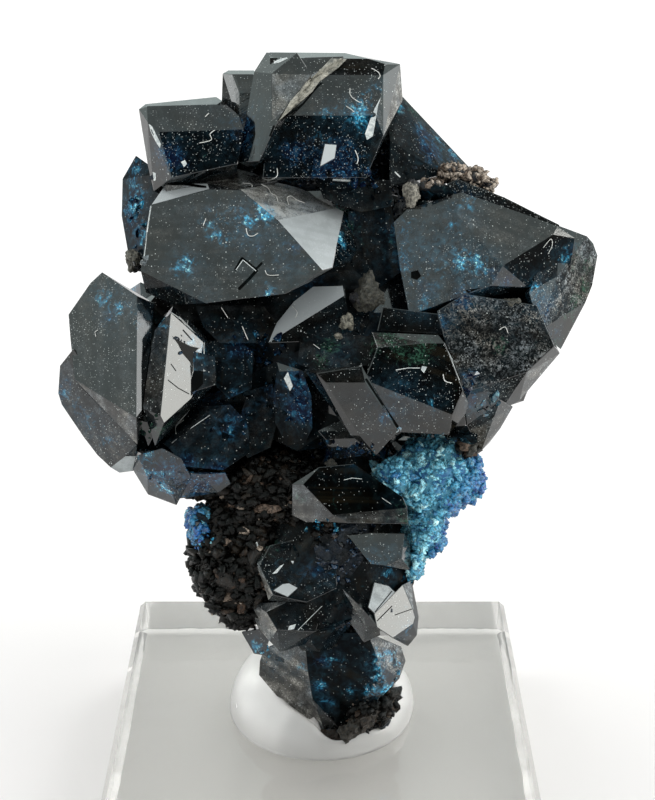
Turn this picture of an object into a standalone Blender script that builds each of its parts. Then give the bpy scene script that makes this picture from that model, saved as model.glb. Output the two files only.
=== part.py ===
"""Dark blue lazulite crystals grown on brown rock, set in a clear putty dome on a clear square base.

Lengths are millimetres until a mesh is written. The stone's corners are given as they are seen
from the front: a to the right, b upwards, both on a plane through the middle of the stone, and
w towards the viewer from that plane.
"""
import math

import bmesh
import bpy
from mathutils import Matrix, Vector, noise

MM = 0.001

# Square base of clear plastic, one inch wide
BASE_SIDE = 25.4
BASE_HIGH = 6.0
BASE_BEVEL = 0.35

# Putty dome on the base
DOME_WIDE = 11.5
DOME_HIGH = 4.4
DOME_RINGS = 10
DOME_SIDES = 48
GAP = 0.3

# The eye that the corner places are read from
EYE = Vector((0.37, -83.85, 64.54))
EYE_DOWN = math.radians(24.14)
EYE_TO_PLANE = 92.0

# Flat faces closer in direction than this are one face
FLAT = math.radians(0.6)

# How blunt the tips of the crystals at the back are, and how much finer a lump's second grain is
BLUNT = 0.32
FINER = 2.7

RIGHT = Vector((1.0, 0.0, 0.0))
AHEAD = Vector((0.0, math.cos(EYE_DOWN), -math.sin(EYE_DOWN)))
ABOVE = Vector((0.0, math.sin(EYE_DOWN), math.cos(EYE_DOWN)))

for old in list(bpy.data.objects):
    bpy.data.objects.remove(old, do_unlink=True)


def add_collection(name):
    made = bpy.data.collections.new(name)
    bpy.context.scene.collection.children.link(made)
    return made


joined = add_collection("joined")
cut = add_collection("cut")


def eye_place(a, b, w):
    """A corner seen at a, b and lying w in front of the middle plane, in the eye's own axes."""
    s = (EYE_TO_PLANE - w) / EYE_TO_PLANE
    return Vector((a * s, b * s, w))


def on_plane(a, b, point, normal):
    """Where the line of sight through a, b meets a plane."""
    part = normal.dot(point) - normal.z * EYE_TO_PLANE
    whole = normal.x * a + normal.y * b - normal.z * EYE_TO_PLANE
    s = part / whole
    return Vector((a * s, b * s, EYE_TO_PLANE * (1.0 - s)))


def to_world(p):
    """From the eye's axes to the object's axes, still in millimetres."""
    return EYE + RIGHT * p.x + ABOVE * p.y + AHEAD * (EYE_TO_PLANE - p.z)


def add_object(name, bm, home):
    mesh = bpy.data.meshes.new(name)
    bmesh.ops.scale(bm, vec=(MM, MM, MM), verts=bm.verts)
    bm.to_mesh(mesh)
    bm.free()
    obj = bpy.data.objects.new(name, mesh)
    home.objects.link(obj)
    return obj


def add_helper(name, bm, home=None):
    obj = add_object(name, bm, home or joined)
    obj.hide_render = True
    obj.display_type = "WIRE"
    return obj


def hull_of(points):
    """The convex solid around some points, with its flat faces merged."""
    bm = bmesh.new()
    for p in points:
        bm.verts.new(p)
    made = bmesh.ops.convex_hull(bm, input=bm.verts)
    spare = [v for v in made["geom_interior"] + made["geom_unused"] if isinstance(v, bmesh.types.BMVert)]
    bmesh.ops.delete(bm, geom=list(set(spare)), context="VERTS")
    bmesh.ops.dissolve_limit(bm, angle_limit=FLAT, verts=bm.verts, edges=bm.edges)
    bmesh.ops.recalc_face_normals(bm, faces=bm.faces)
    return bm


def crystal(name, corners, faces, apex, keep):
    """A crystal from the outline of its front faces.

    corners: a letter to (a, b, w), or to (a, b) where a face gives the depth.
    faces: (letters, lean); lean is the slope to the right and upwards that the face looks to, or
    None where three of its corners are already placed.
    apex, keep: the front corners are repeated on their way to the apex, which closes the back.
    """
    placed = {k: eye_place(*c) for k, c in corners.items() if len(c) == 3}
    for letters, lean in faces:
        have = [placed[k] for k in letters if k in placed]
        if lean is None:
            normal = (have[1] - have[0]).cross(have[2] - have[0]).normalized()
        else:
            normal = Vector((lean[0], lean[1], 1.0)).normalized()
        for k in letters:
            if k not in placed:
                placed[k] = on_plane(corners[k][0], corners[k][1], have[0], normal)
    root = eye_place(*apex)
    front = list(placed.values())
    back = [root + (p - root) * keep for p in front]
    return add_helper(name, hull_of([to_world(p) for p in front + back]))


def habit(name, place, size, turn):
    """A blunt double pyramid, the plain shape of a lazulite crystal, for the sides and the back."""
    long, wide, deep = size
    shape = [
        (BLUNT, 0.0, 1.0), (-BLUNT, 0.0, 1.0), (BLUNT, 0.0, -1.0), (-BLUNT, 0.0, -1.0),
        (1.0, 0.22, 0.06), (1.0, -0.22, -0.06), (-1.0, 0.22, -0.06), (-1.0, -0.22, 0.06),
        (0.25, 1.0, 0.0), (-0.25, 1.0, 0.0), (0.25, -1.0, 0.0), (-0.25, -1.0, 0.0),
        (0.62, 0.3, 0.6), (-0.62, -0.3, -0.6),
    ]
    spin = Matrix.Rotation(math.radians(turn[2]), 3, "Z")
    spin = spin @ Matrix.Rotation(math.radians(turn[1]), 3, "Y")
    spin = spin @ Matrix.Rotation(math.radians(turn[0]), 3, "X")
    centre = to_world(eye_place(*place))
    points = [centre + spin @ Vector((x * wide, y * deep, z * long)) for x, y, z in shape]
    return add_helper(name, hull_of(points))


def lump(name, place, size, rough, grain, detail, seed):
    """A rounded, uneven mass of rock or crust."""
    bm = bmesh.new()
    bmesh.ops.create_icosphere(bm, subdivisions=detail, radius=1.0)
    shift = Vector((seed * 7.3, seed * 3.1, seed * 5.7))
    middle = eye_place(*place)
    for v in bm.verts:
        d = v.co.normalized()
        swell = noise.noise(d * grain + shift) * rough
        swell += noise.noise(d * grain * FINER + shift) * rough * 0.5
        d = d * (1.0 + swell)
        v.co = to_world(middle + Vector((d.x * size[0], d.y * size[1], d.z * size[2])))
    bmesh.ops.recalc_face_normals(bm, faces=bm.faces)
    return add_helper(name, bm)


# Upper crystals: three blocks side by side with level upper edges, the right one the largest

crystal("top_block", {
    "a": (-3.3, 19.65, 5.0), "b": (2.35, 19.6), "c": (3.3, 19.3), "d": (3.2, 18.68), "e": (-3.3, 18.68),
    "m": (3.05, 17.4), "f": (2.75, 16.35), "g": (-3.3, 16.35),
    "h": (2.15, 15.2), "i": (2.2, 12.8), "j": (-3.7, 12.8),
    "k": (4.15, 19.3, 4.25), "l": (3.45, 16.35), "n": (3.2, 15.2), "o": (4.3, 17.25, 3.86),
    "x": (1.0, 19.93, 3.4), "y": (-3.3, 19.97),
}, [
    ("abcde", (0.0, 0.38)), ("edmfg", (0.0, 0.2)), ("gfhij", (0.0, -0.05)),
    ("cmkln", None), ("abxy", None),
], apex=(0.5, 12.0, -6.0), keep=0.62)

crystal("top_slab", {
    "a": (-3.2, 18.75, 6.05), "b": (-0.95, 18.7), "c": (-2.65, 16.5), "d": (-3.2, 16.05),
    "h": (-4.2, 18.85, 5.0), "e": (-3.95, 13.75), "f": (-5.1, 13.7), "g": (-4.7, 15.4),
    "i": (-3.5, 19.95, 3.9), "j": (-1.75, 19.93),
}, [("abcd", (0.05, 0.25)), ("adhefg", None), ("ahij", None)], apex=(-2.0, 12.0, -6.0), keep=0.6)

crystal("top_rim", {
    "a": (-3.15, 18.78, 6.0), "b": (-1.3, 19.65), "c": (0.9, 19.72), "d": (-0.45, 19.1), "e": (-0.93, 18.72),
}, [("abcde", (0.03, 0.42))], apex=(-2.0, 14.0, -4.0), keep=0.6)

crystal("left_block", {
    "a": (-10.35, 16.85, 5.2), "b": (-6.35, 16.95), "c": (-5.1, 16.3), "d": (-4.85, 15.55), "e": (-9.7, 15.4),
    "f": (-10.3, 15.95), "g": (-5.2, 13.6, 5.85), "h": (-8.95, 12.8), "i": (-8.75, 13.15), "j": (-9.35, 14.1),
    "k": (-10.8, 16.7, 4.65), "l": (-10.3, 13.6), "m": (-9.95, 12.05),
    "o": (-6.4, 17.38, 3.7), "n": (-10.45, 16.97), "r": (-6.05, 17.15),
}, [
    ("abcdef", (-0.05, 0.32)), ("edghij", None), ("aikml", None), ("abonr", None),
], apex=(-6.0, 10.0, -5.0), keep=0.6)

crystal("between", {
    "a": (-5.45, 18.7, 4.6), "b": (-4.3, 18.7), "c": (-4.0, 18.4), "d": (-5.2, 18.4),
    "e": (-3.85, 17.65), "f": (-5.05, 17.65), "g": (-4.4, 15.5), "h": (-5.0, 15.6),
    "i": (-6.0, 18.75, 4.0), "j": (-6.05, 17.25), "k": (-5.0, 17.2),
    "l": (-4.25, 18.92, 3.4), "m": (-5.7, 18.92),
}, [
    ("abcd", (0.0, 0.5)), ("dcef", (0.0, 0.28)), ("feghk", (0.0, 0.0)), ("aikj", None), ("ablm", None),
], apex=(-4.0, 13.0, -4.0), keep=0.6)

crystal("behind_left", {
    "a": (-11.0, 14.0, 1.6), "b": (-11.75, 12.7, 1.0), "c": (-11.8, 10.6, 1.0), "d": (-11.4, 8.3, 1.2),
    "e": (-10.9, 7.4, 1.5), "f": (-9.5, 7.5, 3.4), "g": (-9.6, 13.0, 3.4),
}, [], apex=(-6.0, 10.0, -6.0), keep=0.6)

crystal("behind_right", {
    "a": (4.3, 17.4, 0.5), "b": (5.9, 15.7, 0.0), "c": (7.1, 14.3, -0.4), "d": (8.3, 13.15, -0.8),
    "e": (3.6, 14.9, 3.0), "f": (6.6, 13.0, 2.0), "g": (3.6, 12.3, 3.2), "h": (3.4, 16.6, 1.6),
}, [], apex=(2.0, 11.0, -7.0), keep=0.6)

# The large crystal in the middle with its leaning triangle

crystal("centre", {
    "a": (-10.1, 11.2, 5.05), "b": (-2.85, 10.3), "c": (-0.3, 7.45), "d": (-2.4, 6.15), "e": (-7.0, 5.6),
    "g": (-10.7, 7.45), "h": (-6.8, 12.1), "i": (-5.0, 12.05),
    "j": (1.0, 11.1, 1.8), "l": (-2.85, 12.45), "m": (-1.8, 12.2), "k": (-0.1, 11.4),
    "o": (0.25, 7.6), "p": (1.3, 8.0, 4.2), "q": (1.7, 8.6, 3.4),
    "t": (-9.3, 12.35, 4.1), "s": (-6.9, 12.4),
    "u": (-10.4, 6.2, 4.9), "v": (-8.8, 5.5),
}, [
    ("abcdeghi", (-0.05, 0.3)), ("ibjklm", None), ("bcjo", None), ("ahts", None), ("geuv", None),
], apex=(-4.0, 8.0, -8.0), keep=0.55)

crystal("centre_top", {
    "a": (-9.3, 12.47, 4.0), "b": (-6.9, 12.47), "c": (-5.0, 12.2), "d": (-2.9, 12.6),
    "e": (-5.3, 13.3), "f": (-5.9, 13.45), "g": (-8.0, 13.15), "h": (-8.9, 12.8),
}, [("abcdefgh", (0.0, 1.6))], apex=(-6.0, 9.0, -5.0), keep=0.6)

crystal("under_centre", {
    "a": (-3.35, 3.3, 4.3), "b": (-2.9, 4.4), "c": (-1.9, 5.65), "d": (-0.8, 6.5), "e": (0.9, 6.55),
    "f": (1.0, 6.0), "g": (-1.7, 4.7), "h": (-2.3, 4.0), "i": (1.2, 3.9), "j": (-1.0, 3.4),
}, [("abcdefgh", (-0.45, 0.6)), ("gfij", (0.0, 0.05))], apex=(-1.0, 4.0, -5.0), keep=0.6)

# Left group

crystal("left", {
    "h": (-10.95, 5.1, 5.0), "a": (-12.95, 7.3), "b": (-13.6, 6.7), "c": (-14.85, 4.9), "d": (-14.75, 3.6),
    "e": (-14.5, 1.2), "f": (-13.2, 0.6), "g": (-11.0, -1.0), "i": (-10.95, 5.95),
    "k": (-10.05, 4.3, 4.75), "j": (-10.7, -0.6), "l": (-10.3, 5.0),
    "n": (-10.95, -2.5, 5.75), "o": (-14.2, 0.8),
    "m": (-9.95, 5.5, 3.9),
}, [
    ("habcdefgi", (-0.35, 0.25)), ("hgkjl", None), ("fgno", None),
], apex=(-9.0, 2.0, -5.0), keep=0.5)

crystal("left_inner", {
    "a": (-9.0, 5.0, 6.0), "b": (-7.15, 3.3), "c": (-7.1, 1.7), "d": (-7.85, 0.1), "e": (-9.4, -1.3),
    "f": (-9.6, -0.9), "g": (-10.6, -0.45, 6.3), "h": (-10.2, 2.4), "i": (-9.9, 4.0),
    "j": (-8.9, 5.35, 5.0), "k": (-6.9, 3.6), "l": (-6.75, 0.7, 3.9), "m": (-9.9, -2.6, 5.0),
}, [
    ("abcdef", (0.85, 0.05)), ("afghi", None), ("abjk", None),
], apex=(-8.0, 2.0, -5.0), keep=0.55)

crystal("left_foot", {
    "j": (-14.3, 1.0, 4.0), "a": (-14.6, 2.9), "b": (-15.35, 1.95), "c": (-15.45, 0.4), "d": (-15.25, -0.25),
    "e": (-14.0, -2.1), "f": (-13.2, -3.15), "g": (-12.45, -3.85), "h": (-11.6, -3.2), "i": (-11.0, -2.6),
    "k": (-11.0, -3.2), "l": (-11.2, -4.05, 2.6), "m": (-11.95, -4.15),
}, [("jabcdefghi", (-0.4, -0.3)), ("ghlkm", None)], apex=(-10.0, 0.0, -4.0), keep=0.5)

crystal("left_under", {
    "a": (-10.9, -3.2, 3.8), "b": (-9.5, -2.8, 4.4), "c": (-8.4, -3.4, 4.6), "d": (-7.9, -4.45, 4.3),
    "e": (-9.0, -4.95, 4.0), "f": (-10.35, -4.3, 3.8), "g": (-11.15, -4.0, 2.8), "h": (-10.3, -5.4, 2.4),
    "i": (-8.7, -6.0, 2.6),
}, [], apex=(-8.0, -3.0, -4.0), keep=0.5)

crystal("left_under_two", {
    "a": (-8.2, -4.2, 4.2), "b": (-7.2, -4.3, 4.3), "c": (-5.9, -4.2, 3.8), "d": (-5.6, -4.8, 3.4),
    "e": (-6.3, -5.3, 3.2), "f": (-8.0, -5.3, 3.4), "g": (-8.9, -5.7, 2.8),
}, [], apex=(-6.0, -4.0, -3.0), keep=0.5)

# Right group

crystal("right", {
    "f": (10.05, 7.7, 4.6), "a": (7.7, 11.9), "b": (8.8, 11.35), "c": (11.0, 10.75), "d": (13.2, 9.95),
    "e": (12.95, 9.5), "g": (7.4, 10.7),
    "n": (4.75, 4.9, 3.65), "o": (3.85, 10.2), "p": (4.6, 10.95), "q": (6.6, 10.95), "r": (9.4, 6.6),
    "s": (7.9, 6.3), "t": (4.2, 7.6),
    "l": (11.5, 6.5, 3.4), "j": (14.2, 9.3), "k": (13.9, 7.4),
}, [
    ("fabcdeg", (0.15, 0.35)), ("fgnopqrst", None), ("feljkr", None),
], apex=(8.0, 7.0, -6.0), keep=0.55)

crystal("right_back", {
    "a": (7.5, 12.65, 3.0), "b": (10.2, 11.6), "c": (13.3, 10.05), "d": (13.0, 9.0), "e": (7.5, 10.5),
    "f": (6.9, 12.4),
}, [("abcdef", (0.05, 0.05))], apex=(8.0, 8.0, -6.0), keep=0.6)

crystal("right_rim", {
    "a": (13.3, 10.0, 2.5), "b": (14.9, 9.4, 1.6), "c": (15.5, 8.3, 0.9), "d": (15.2, 6.6, 1.0),
    "e": (14.3, 4.7, 1.4), "f": (13.4, 2.95, 2.0), "g": (12.2, 4.0, 3.6), "h": (11.6, 6.2, 3.7),
    "i": (13.2, 7.1, 3.0), "k": (15.25, 9.0, 1.2), "l": (14.8, 5.6, 1.2),
}, [], apex=(9.0, 6.0, -5.0), keep=0.6)

crystal("right_low", {
    "l": (6.8, 3.3, 4.9), "a": (6.35, 5.1), "b": (7.9, 6.05), "c": (10.2, 5.55), "d": (12.0, 5.4),
    "f": (13.0, 3.1), "h": (11.4, 1.6), "k": (8.0, 0.5),
    "g": (13.3, 2.7, 3.2), "m": (12.6, 2.1, 3.0), "n": (11.7, 1.4, 3.0), "i": (11.0, 0.0, 2.8),
    "j": (9.9, -0.6, 3.2),
}, [("labcdfhk", (0.12, 0.1))], apex=(9.0, 3.0, -5.0), keep=0.6)

crystal("right_foot", {
    "a": (8.0, 1.7, 4.9), "b": (8.6, 0.9, 4.8), "c": (9.9, 0.0, 4.2), "d": (10.6, -0.4, 2.8),
    "e": (9.9, -1.6, 2.4), "f": (9.3, -2.4, 2.2), "g": (8.8, -2.9, 2.6), "h": (8.0, -1.4, 4.2),
    "i": (7.9, 0.0, 4.8),
}, [], apex=(8.0, 0.0, -3.0), keep=0.5)

# Middle

crystal("middle_left", {
    "a": (-0.6, 1.5, 6.2), "b": (1.95, 1.9), "c": (2.15, 1.0), "h": (-0.1, 1.0),
    "d": (4.0, -1.75), "e": (2.8, -3.1), "f": (1.85, -2.0), "j": (-1.3, 1.75, 5.4), "i": (1.35, -2.0),
}, [
    ("abch", (0.0, 0.05)), ("hcdef", (0.0, -0.25)), ("ahfji", None),
], apex=(2.0, 0.0, -4.0), keep=0.55)

crystal("middle_right", {
    "a": (2.3, 1.5, 5.95), "b": (2.9, 3.0), "c": (5.5, 3.25), "d": (6.7, 3.25), "e": (7.75, 0.55),
    "f": (7.15, -0.85), "g": (2.5, 1.0), "j": (4.1, -1.8, 5.43), "h": (6.95, -1.95), "i": (5.2, -1.85),
    "l": (8.05, -0.1, 5.2), "m": (7.9, -0.75), "o": (2.6, 3.85, 5.2), "n": (6.35, 3.68),
}, [
    ("abcdefg", (0.0, 0.02)), ("gfjhi", None), ("felmh", None), ("bdocn", None),
], apex=(5.0, 1.0, -4.0), keep=0.55)

crystal("blue_slope", {
    "a": (-2.9, 1.6, 4.6), "b": (-1.45, 1.65, 5.1), "c": (-0.95, 0.2, 5.1), "d": (-0.9, -1.6, 4.6),
    "e": (-1.3, -2.4, 4.2), "f": (-2.3, -2.6, 3.6), "g": (-3.0, -1.3, 3.6), "h": (-3.1, 0.2, 4.0),
}, [], apex=(-1.0, 0.0, -3.0), keep=0.5)

crystal("blue_step", {
    "a": (-0.5, -1.8, 4.4), "b": (0.7, -1.2, 4.2), "c": (1.7, -1.75, 4.6), "d": (1.85, -2.2, 4.6),
    "e": (-0.1, -2.25, 4.4), "f": (2.5, -3.1, 3.8), "g": (0.4, -3.4, 3.6),
}, [], apex=(1.0, -2.0, -3.0), keep=0.5)

crystal("dark_shelf", {
    "a": (-1.5, 3.7, 4.4), "b": (0.6, 3.9, 4.0), "c": (2.6, 3.6, 4.4), "d": (2.3, 2.0, 5.6),
    "e": (-0.6, 1.7, 5.5), "f": (-1.7, 2.1, 5.0),
}, [], apex=(0.5, 2.5, -3.0), keep=0.5)

# Lower group

crystal("low_middle", {
    "a": (-1.4, -4.85, 4.5), "b": (-0.5, -3.9), "c": (1.5, -3.7), "d": (2.7, -4.9), "e": (4.3, -5.6),
    "f": (4.55, -6.2), "g": (0.3, -6.6), "h": (-0.3, -5.8),
    "i": (4.6, -7.1, 4.3), "j": (1.2, -7.05), "m": (-2.0, -6.6, 3.7), "k": (-0.3, -6.95), "l": (-1.2, -7.0),
    "n": (-2.0, -4.85),
}, [
    ("abcdefgh", (0.0, 0.06)), ("gfij", None), ("agmhkln", None),
], apex=(1.0, -5.0, -5.0), keep=0.5)

crystal("low_face", {
    "a": (1.2, -7.8, 3.6), "b": (2.6, -7.65), "c": (4.4, -7.7), "d": (4.25, -9.1), "e": (3.4, -9.5),
    "f": (2.5, -9.4), "g": (4.7, -8.2, 3.0), "h": (4.8, -9.8, 2.0),
}, [("abcdef", (0.0, 0.3))], apex=(2.0, -7.0, -4.0), keep=0.6)

crystal("low_left", {
    "a": (-3.9, -9.5, 2.6), "b": (-3.3, -8.4), "c": (-1.2, -7.9), "d": (0.4, -9.0), "e": (0.5, -10.8),
    "f": (-1.2, -11.6), "g": (-3.1, -11.2), "h": (-4.5, -8.9, 1.9), "i": (-3.35, -11.5),
}, [("abcdefg", (0.0, 0.04)), ("aghi", None)], apex=(-1.0, -9.0, -5.0), keep=0.5)

crystal("low_left_foot", {
    "a": (-3.5, -12.2, 2.0), "b": (-2.3, -11.6), "c": (-0.3, -11.9), "d": (-0.7, -13.3), "e": (-2.9, -13.2),
    "f": (-4.25, -11.7, 1.4), "g": (-4.3, -12.3), "h": (-3.9, -13.2), "i": (-3.3, -13.85),
    "j": (-2.7, -14.45, 0.6), "k": (-1.3, -14.0, 0.6),
}, [("abcde", (0.0, -0.1)), ("aefghi", None)], apex=(-1.0, -11.0, -5.0), keep=0.5)

crystal("low_gleam", {
    "a": (-3.1, -10.95, 3.1), "b": (-2.6, -10.6), "c": (-1.3, -10.4), "d": (-1.9, -10.95), "e": (-2.3, -11.3),
}, [("abcde", (0.3, 0.6))], apex=(-2.0, -11.0, -2.0), keep=0.6)

crystal("low_slip", {
    "a": (0.9, -10.9, 2.4), "b": (2.0, -12.0, 2.5), "c": (2.85, -13.0, 2.3), "d": (2.2, -12.95, 2.0),
    "e": (1.1, -11.6, 2.0), "f": (2.4, -10.6, 1.4), "g": (1.0, -12.3, 1.3), "h": (2.1, -13.9, 0.8),
    "i": (3.0, -13.5, 1.4),
}, [], apex=(1.5, -11.0, -5.0), keep=0.5)

crystal("small_left", {
    "a": (2.7, -10.5, 2.2), "b": (3.5, -10.7), "c": (3.85, -11.05), "d": (2.7, -12.25), "e": (2.35, -11.9),
}, [("abcde", (0.45, 0.3))], apex=(3.0, -11.0, -4.0), keep=0.6)

crystal("small_right", {
    "f": (2.85, -13.05, 2.3), "a": (4.3, -10.65), "b": (4.9, -12.1), "c": (5.0, -12.5), "d": (4.9, -12.85),
    "e": (3.75, -13.65), "g": (2.7, -12.3),
    "h": (4.8, -10.4, 0.2), "i": (5.2, -12.5, 0.4), "j": (5.1, -13.5, 0.2), "k": (4.6, -14.1, 0.2),
}, [("fabcdeg", (0.7, 0.1))], apex=(3.0, -11.0, -5.0), keep=0.5)

crystal("bottom", {
    "a": (-1.35, -13.4, -1.5), "b": (2.3, -13.4), "c": (3.0, -15.2), "d": (2.95, -16.1), "e": (0.6, -18.8),
    "f": (-0.1, -18.1), "g": (-0.85, -17.2), "h": (-1.15, -15.5),
    "j": (-3.9, -15.8, -4.0), "i": (-2.8, -17.1), "k": (-3.85, -15.0), "l": (-3.6, -14.3),
    "m": (-0.1, -19.1), "p": (4.45, -15.0, -3.8), "q": (4.2, -14.2), "o": (4.1, -16.0),
    "n": (3.3, -16.8), "r": (2.3, -17.6, -4.0), "s": (1.0, -18.95, -3.8),
}, [
    ("abcdefgh", (0.0, -0.37)), ("afjiklm", None), ("bdpqon", None),
], apex=(0.3, -13.0, -9.0), keep=0.6)

# Small blocks in the dark hollows between the groups

crystal("hollow_a", {
    "a": (-6.9, 3.3, 3.4), "b": (-5.3, 3.7), "c": (-4.3, 2.7), "d": (-4.4, 0.7), "e": (-5.7, 0.1),
    "f": (-6.8, 1.3), "g": (-7.6, 2.4, 2.8),
}, [("abcdef", (-0.1, 0.1))], apex=(-5.5, 2.0, -3.0), keep=0.6)

crystal("hollow_b", {
    "a": (-9.1, -2.75, 4.3), "b": (-7.0, -0.75), "c": (-5.6, -0.3), "d": (-4.6, -1.3), "e": (-4.5, -3.0),
    "f": (-6.0, -4.0), "g": (-8.2, -3.8), "h": (-9.4, -2.5, 3.7), "i": (-7.1, -0.4),
}, [("abcdefg", (0.1, -0.05)), ("abhi", None)], apex=(-6.5, -2.0, -3.0), keep=0.6)

crystal("hollow_c", {
    "a": (-4.5, 0.5, 3.4), "b": (-3.2, 0.9), "c": (-2.8, -0.9), "d": (-3.3, -2.7), "e": (-4.6, -3.3),
    "f": (-5.2, -1.5),
}, [("abcdef", (0.15, 0.0))], apex=(-4.0, -1.0, -3.0), keep=0.6)

crystal("hollow_d", {
    "a": (-7.6, 5.4, 4.4), "b": (-5.9, 5.3), "c": (-3.7, 5.4), "d": (-3.1, 4.6), "e": (-4.0, 3.3),
    "f": (-6.2, 3.3), "g": (-7.1, 4.2),
}, [("abcdefg", (0.0, -0.1))], apex=(-5.0, 4.5, -3.0), keep=0.6)

crystal("hollow_e", {
    "a": (2.9, 4.0, 4.2), "b": (6.6, 3.8), "c": (6.4, 4.9), "d": (4.8, 4.9), "e": (3.2, 5.3),
}, [("abcde", (0.0, -0.1))], apex=(4.5, 4.5, -3.0), keep=0.7)

crystal("hollow_f", {
    "a": (1.2, 10.8, 2.4), "b": (3.6, 11.4), "c": (4.0, 9.5), "d": (4.2, 7.4), "e": (3.0, 6.5),
    "f": (1.5, 7.4),
}, [("abcdef", (-0.15, 0.0))], apex=(2.5, 9.0, -3.0), keep=0.7)

crystal("hollow_g", {
    "a": (-0.6, 12.6, 3.6), "b": (1.8, 12.7), "c": (3.6, 12.6), "d": (3.8, 11.2), "e": (1.9, 10.8),
    "f": (-0.2, 11.6),
}, [("abcdef", (0.05, 0.1))], apex=(1.5, 12.0, -3.0), keep=0.7)

crystal("gleam", {
    "a": (-0.15, 14.7, 6.25), "b": (0.5, 14.65), "c": (0.38, 13.9), "d": (-0.42, 13.45),
}, [("abcd", (0.35, 0.25))], apex=(0.0, 14.0, 2.0), keep=0.6)

crystal("left_join", {
    "a": (-9.6, 4.6, 4.2), "b": (-9.0, 5.2, 4.6), "c": (-9.2, 3.9, 4.9), "d": (-9.9, 2.6, 4.6),
    "e": (-10.3, 0.0, 5.2), "f": (-10.8, -1.2, 5.4), "g": (-10.3, -2.6, 4.6), "h": (-9.7, -1.4, 5.2),
}, [], apex=(-8.5, 1.0, -4.0), keep=0.6)

crystal("teal_block", {
    "a": (-4.9, -13.35, 0.2), "b": (-4.2, -13.9, 0.2), "c": (-4.2, -14.55, 0.0), "d": (-3.6, -14.65, 0.1),
    "e": (-3.4, -13.8, 0.3), "f": (-3.9, -13.2, 0.5),
}, [], apex=(-3.5, -12.5, -3.0), keep=0.7)

# Rock, from the hidden middle to the lumps that show, and the crust on the lower right

lump("core_middle", (-1.0, 3.0, -2.0), (10.8, 7.5, 5.6), 0.22, 2.2, 3, 1)
lump("core_top", (-2.0, 11.5, -1.6), (7.4, 5.6, 4.2), 0.2, 2.2, 3, 2)
lump("core_right", (8.2, 4.6, -0.4), (4.9, 5.4, 3.4), 0.16, 2.2, 2, 31)
lump("core_left", (-9.6, 1.2, 0.0), (3.8, 4.8, 3.2), 0.16, 2.2, 2, 32)
lump("core_under", (-7.2, -3.9, 0.6), (2.6, 1.7, 2.4), 0.14, 2.2, 2, 33)
lump("core_foot", (0.3, -14.3, -6.6), (2.7, 2.7, 3.6), 0.18, 2.6, 2, 34)
lump("core_low", (0.2, -7.0, -1.6), (4.8, 7.0, 4.6), 0.22, 2.2, 3, 3)
lump("rock_left", (-4.45, -8.55, -0.6), (3.4, 4.05, 3.2), 0.24, 3.2, 3, 4)
lump("rock_brow", (-3.2, -5.2, 1.0), (3.0, 2.1, 2.6), 0.3, 3.0, 3, 5)
lump("rock_tip", (2.3, -17.3, -4.9), (1.6, 1.8, 1.9), 0.3, 3.4, 3, 6)
lump("rock_toe", (0.6, -18.95, -4.4), (1.05, 0.62, 0.9), 0.25, 3.0, 2, 7)
lump("rock_right_a", (7.1, 13.05, 2.2), (0.75, 0.5, 0.9), 0.3, 2.6, 2, 8)
lump("rock_right_b", (8.3, 12.75, 1.8), (0.8, 0.5, 0.9), 0.3, 2.6, 2, 9)
lump("rock_right_c", (9.15, 12.3, 1.4), (0.5, 0.4, 0.8), 0.3, 2.6, 2, 10)
lump("rock_right_d", (5.9, 12.2, 2.6), (0.8, 0.4, 0.9), 0.3, 2.6, 2, 11)
lump("rock_pale", (4.85, 12.0, 3.0), (0.5, 0.75, 0.9), 0.3, 2.6, 2, 12)
lump("rock_crumb_a", (2.1, 5.75, 3.2), (0.9, 0.5, 1.4), 0.35, 2.4, 2, 13)
lump("rock_crumb_b", (1.1, 4.4, 2.9), (0.42, 0.5, 1.6), 0.3, 2.4, 2, 14)
lump("rock_corner", (-11.1, 7.9, 1.7), (0.5, 0.6, 0.7), 0.3, 2.4, 2, 15)
lump("rock_side", (-7.25, -7.2, 0.7), (0.75, 1.3, 1.3), 0.2, 2.0, 2, 16)
lump("crust_main", (6.0, -4.5, 1.2), (2.3, 2.3, 2.6), 0.2, 3.4, 3, 17)
lump("crust_ball", (3.9, -4.35, 2.9), (1.1, 1.0, 1.3), 0.14, 2.6, 2, 18)
lump("crust_edge", (7.7, -4.4, 0.6), (1.25, 1.5, 1.8), 0.26, 3.6, 3, 19)
lump("crust_low", (5.6, -7.3, 1.0), (1.15, 1.6, 1.9), 0.24, 3.4, 3, 20)
lump("crust_tail", (5.0, -9.2, 0.8), (0.5, 1.1, 1.4), 0.2, 2.6, 2, 21)
lump("crust_spot", (7.9, -2.6, 2.6), (0.75, 0.5, 0.7), 0.25, 2.6, 2, 22)

# Crystals of the sides and the back

habit("back_a", (-7.0, 12.0, -2.8), (3.9, 3.0, 2.6), (20.0, 35.0, 15.0))
habit("back_b", (0.5, 14.0, -3.6), (4.4, 3.4, 3.0), (-15.0, 20.0, 50.0))
habit("back_c", (7.2, 8.2, -3.0), (4.4, 3.6, 3.0), (30.0, -25.0, 70.0))
habit("back_d", (-8.6, 3.2, -4.2), (4.3, 3.6, 3.0), (-25.0, 30.0, 120.0))
habit("back_e", (-1.0, 5.6, -5.4), (4.8, 4.0, 3.2), (10.0, -20.0, 100.0))
habit("back_f", (6.8, 1.0, -3.6), (4.0, 3.2, 2.8), (40.0, 15.0, 30.0))
habit("back_g", (-4.2, -2.0, -5.6), (3.9, 3.2, 2.8), (-35.0, 10.0, 160.0))
habit("back_h", (3.0, -4.0, -5.2), (3.6, 2.9, 2.6), (25.0, 40.0, 80.0))
habit("back_i", (-2.4, -10.4, -4.4), (3.0, 2.4, 2.1), (15.0, -30.0, 40.0))
habit("back_j", (2.2, -11.6, -5.6), (2.8, 2.2, 2.0), (-20.0, 25.0, 140.0))
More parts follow.
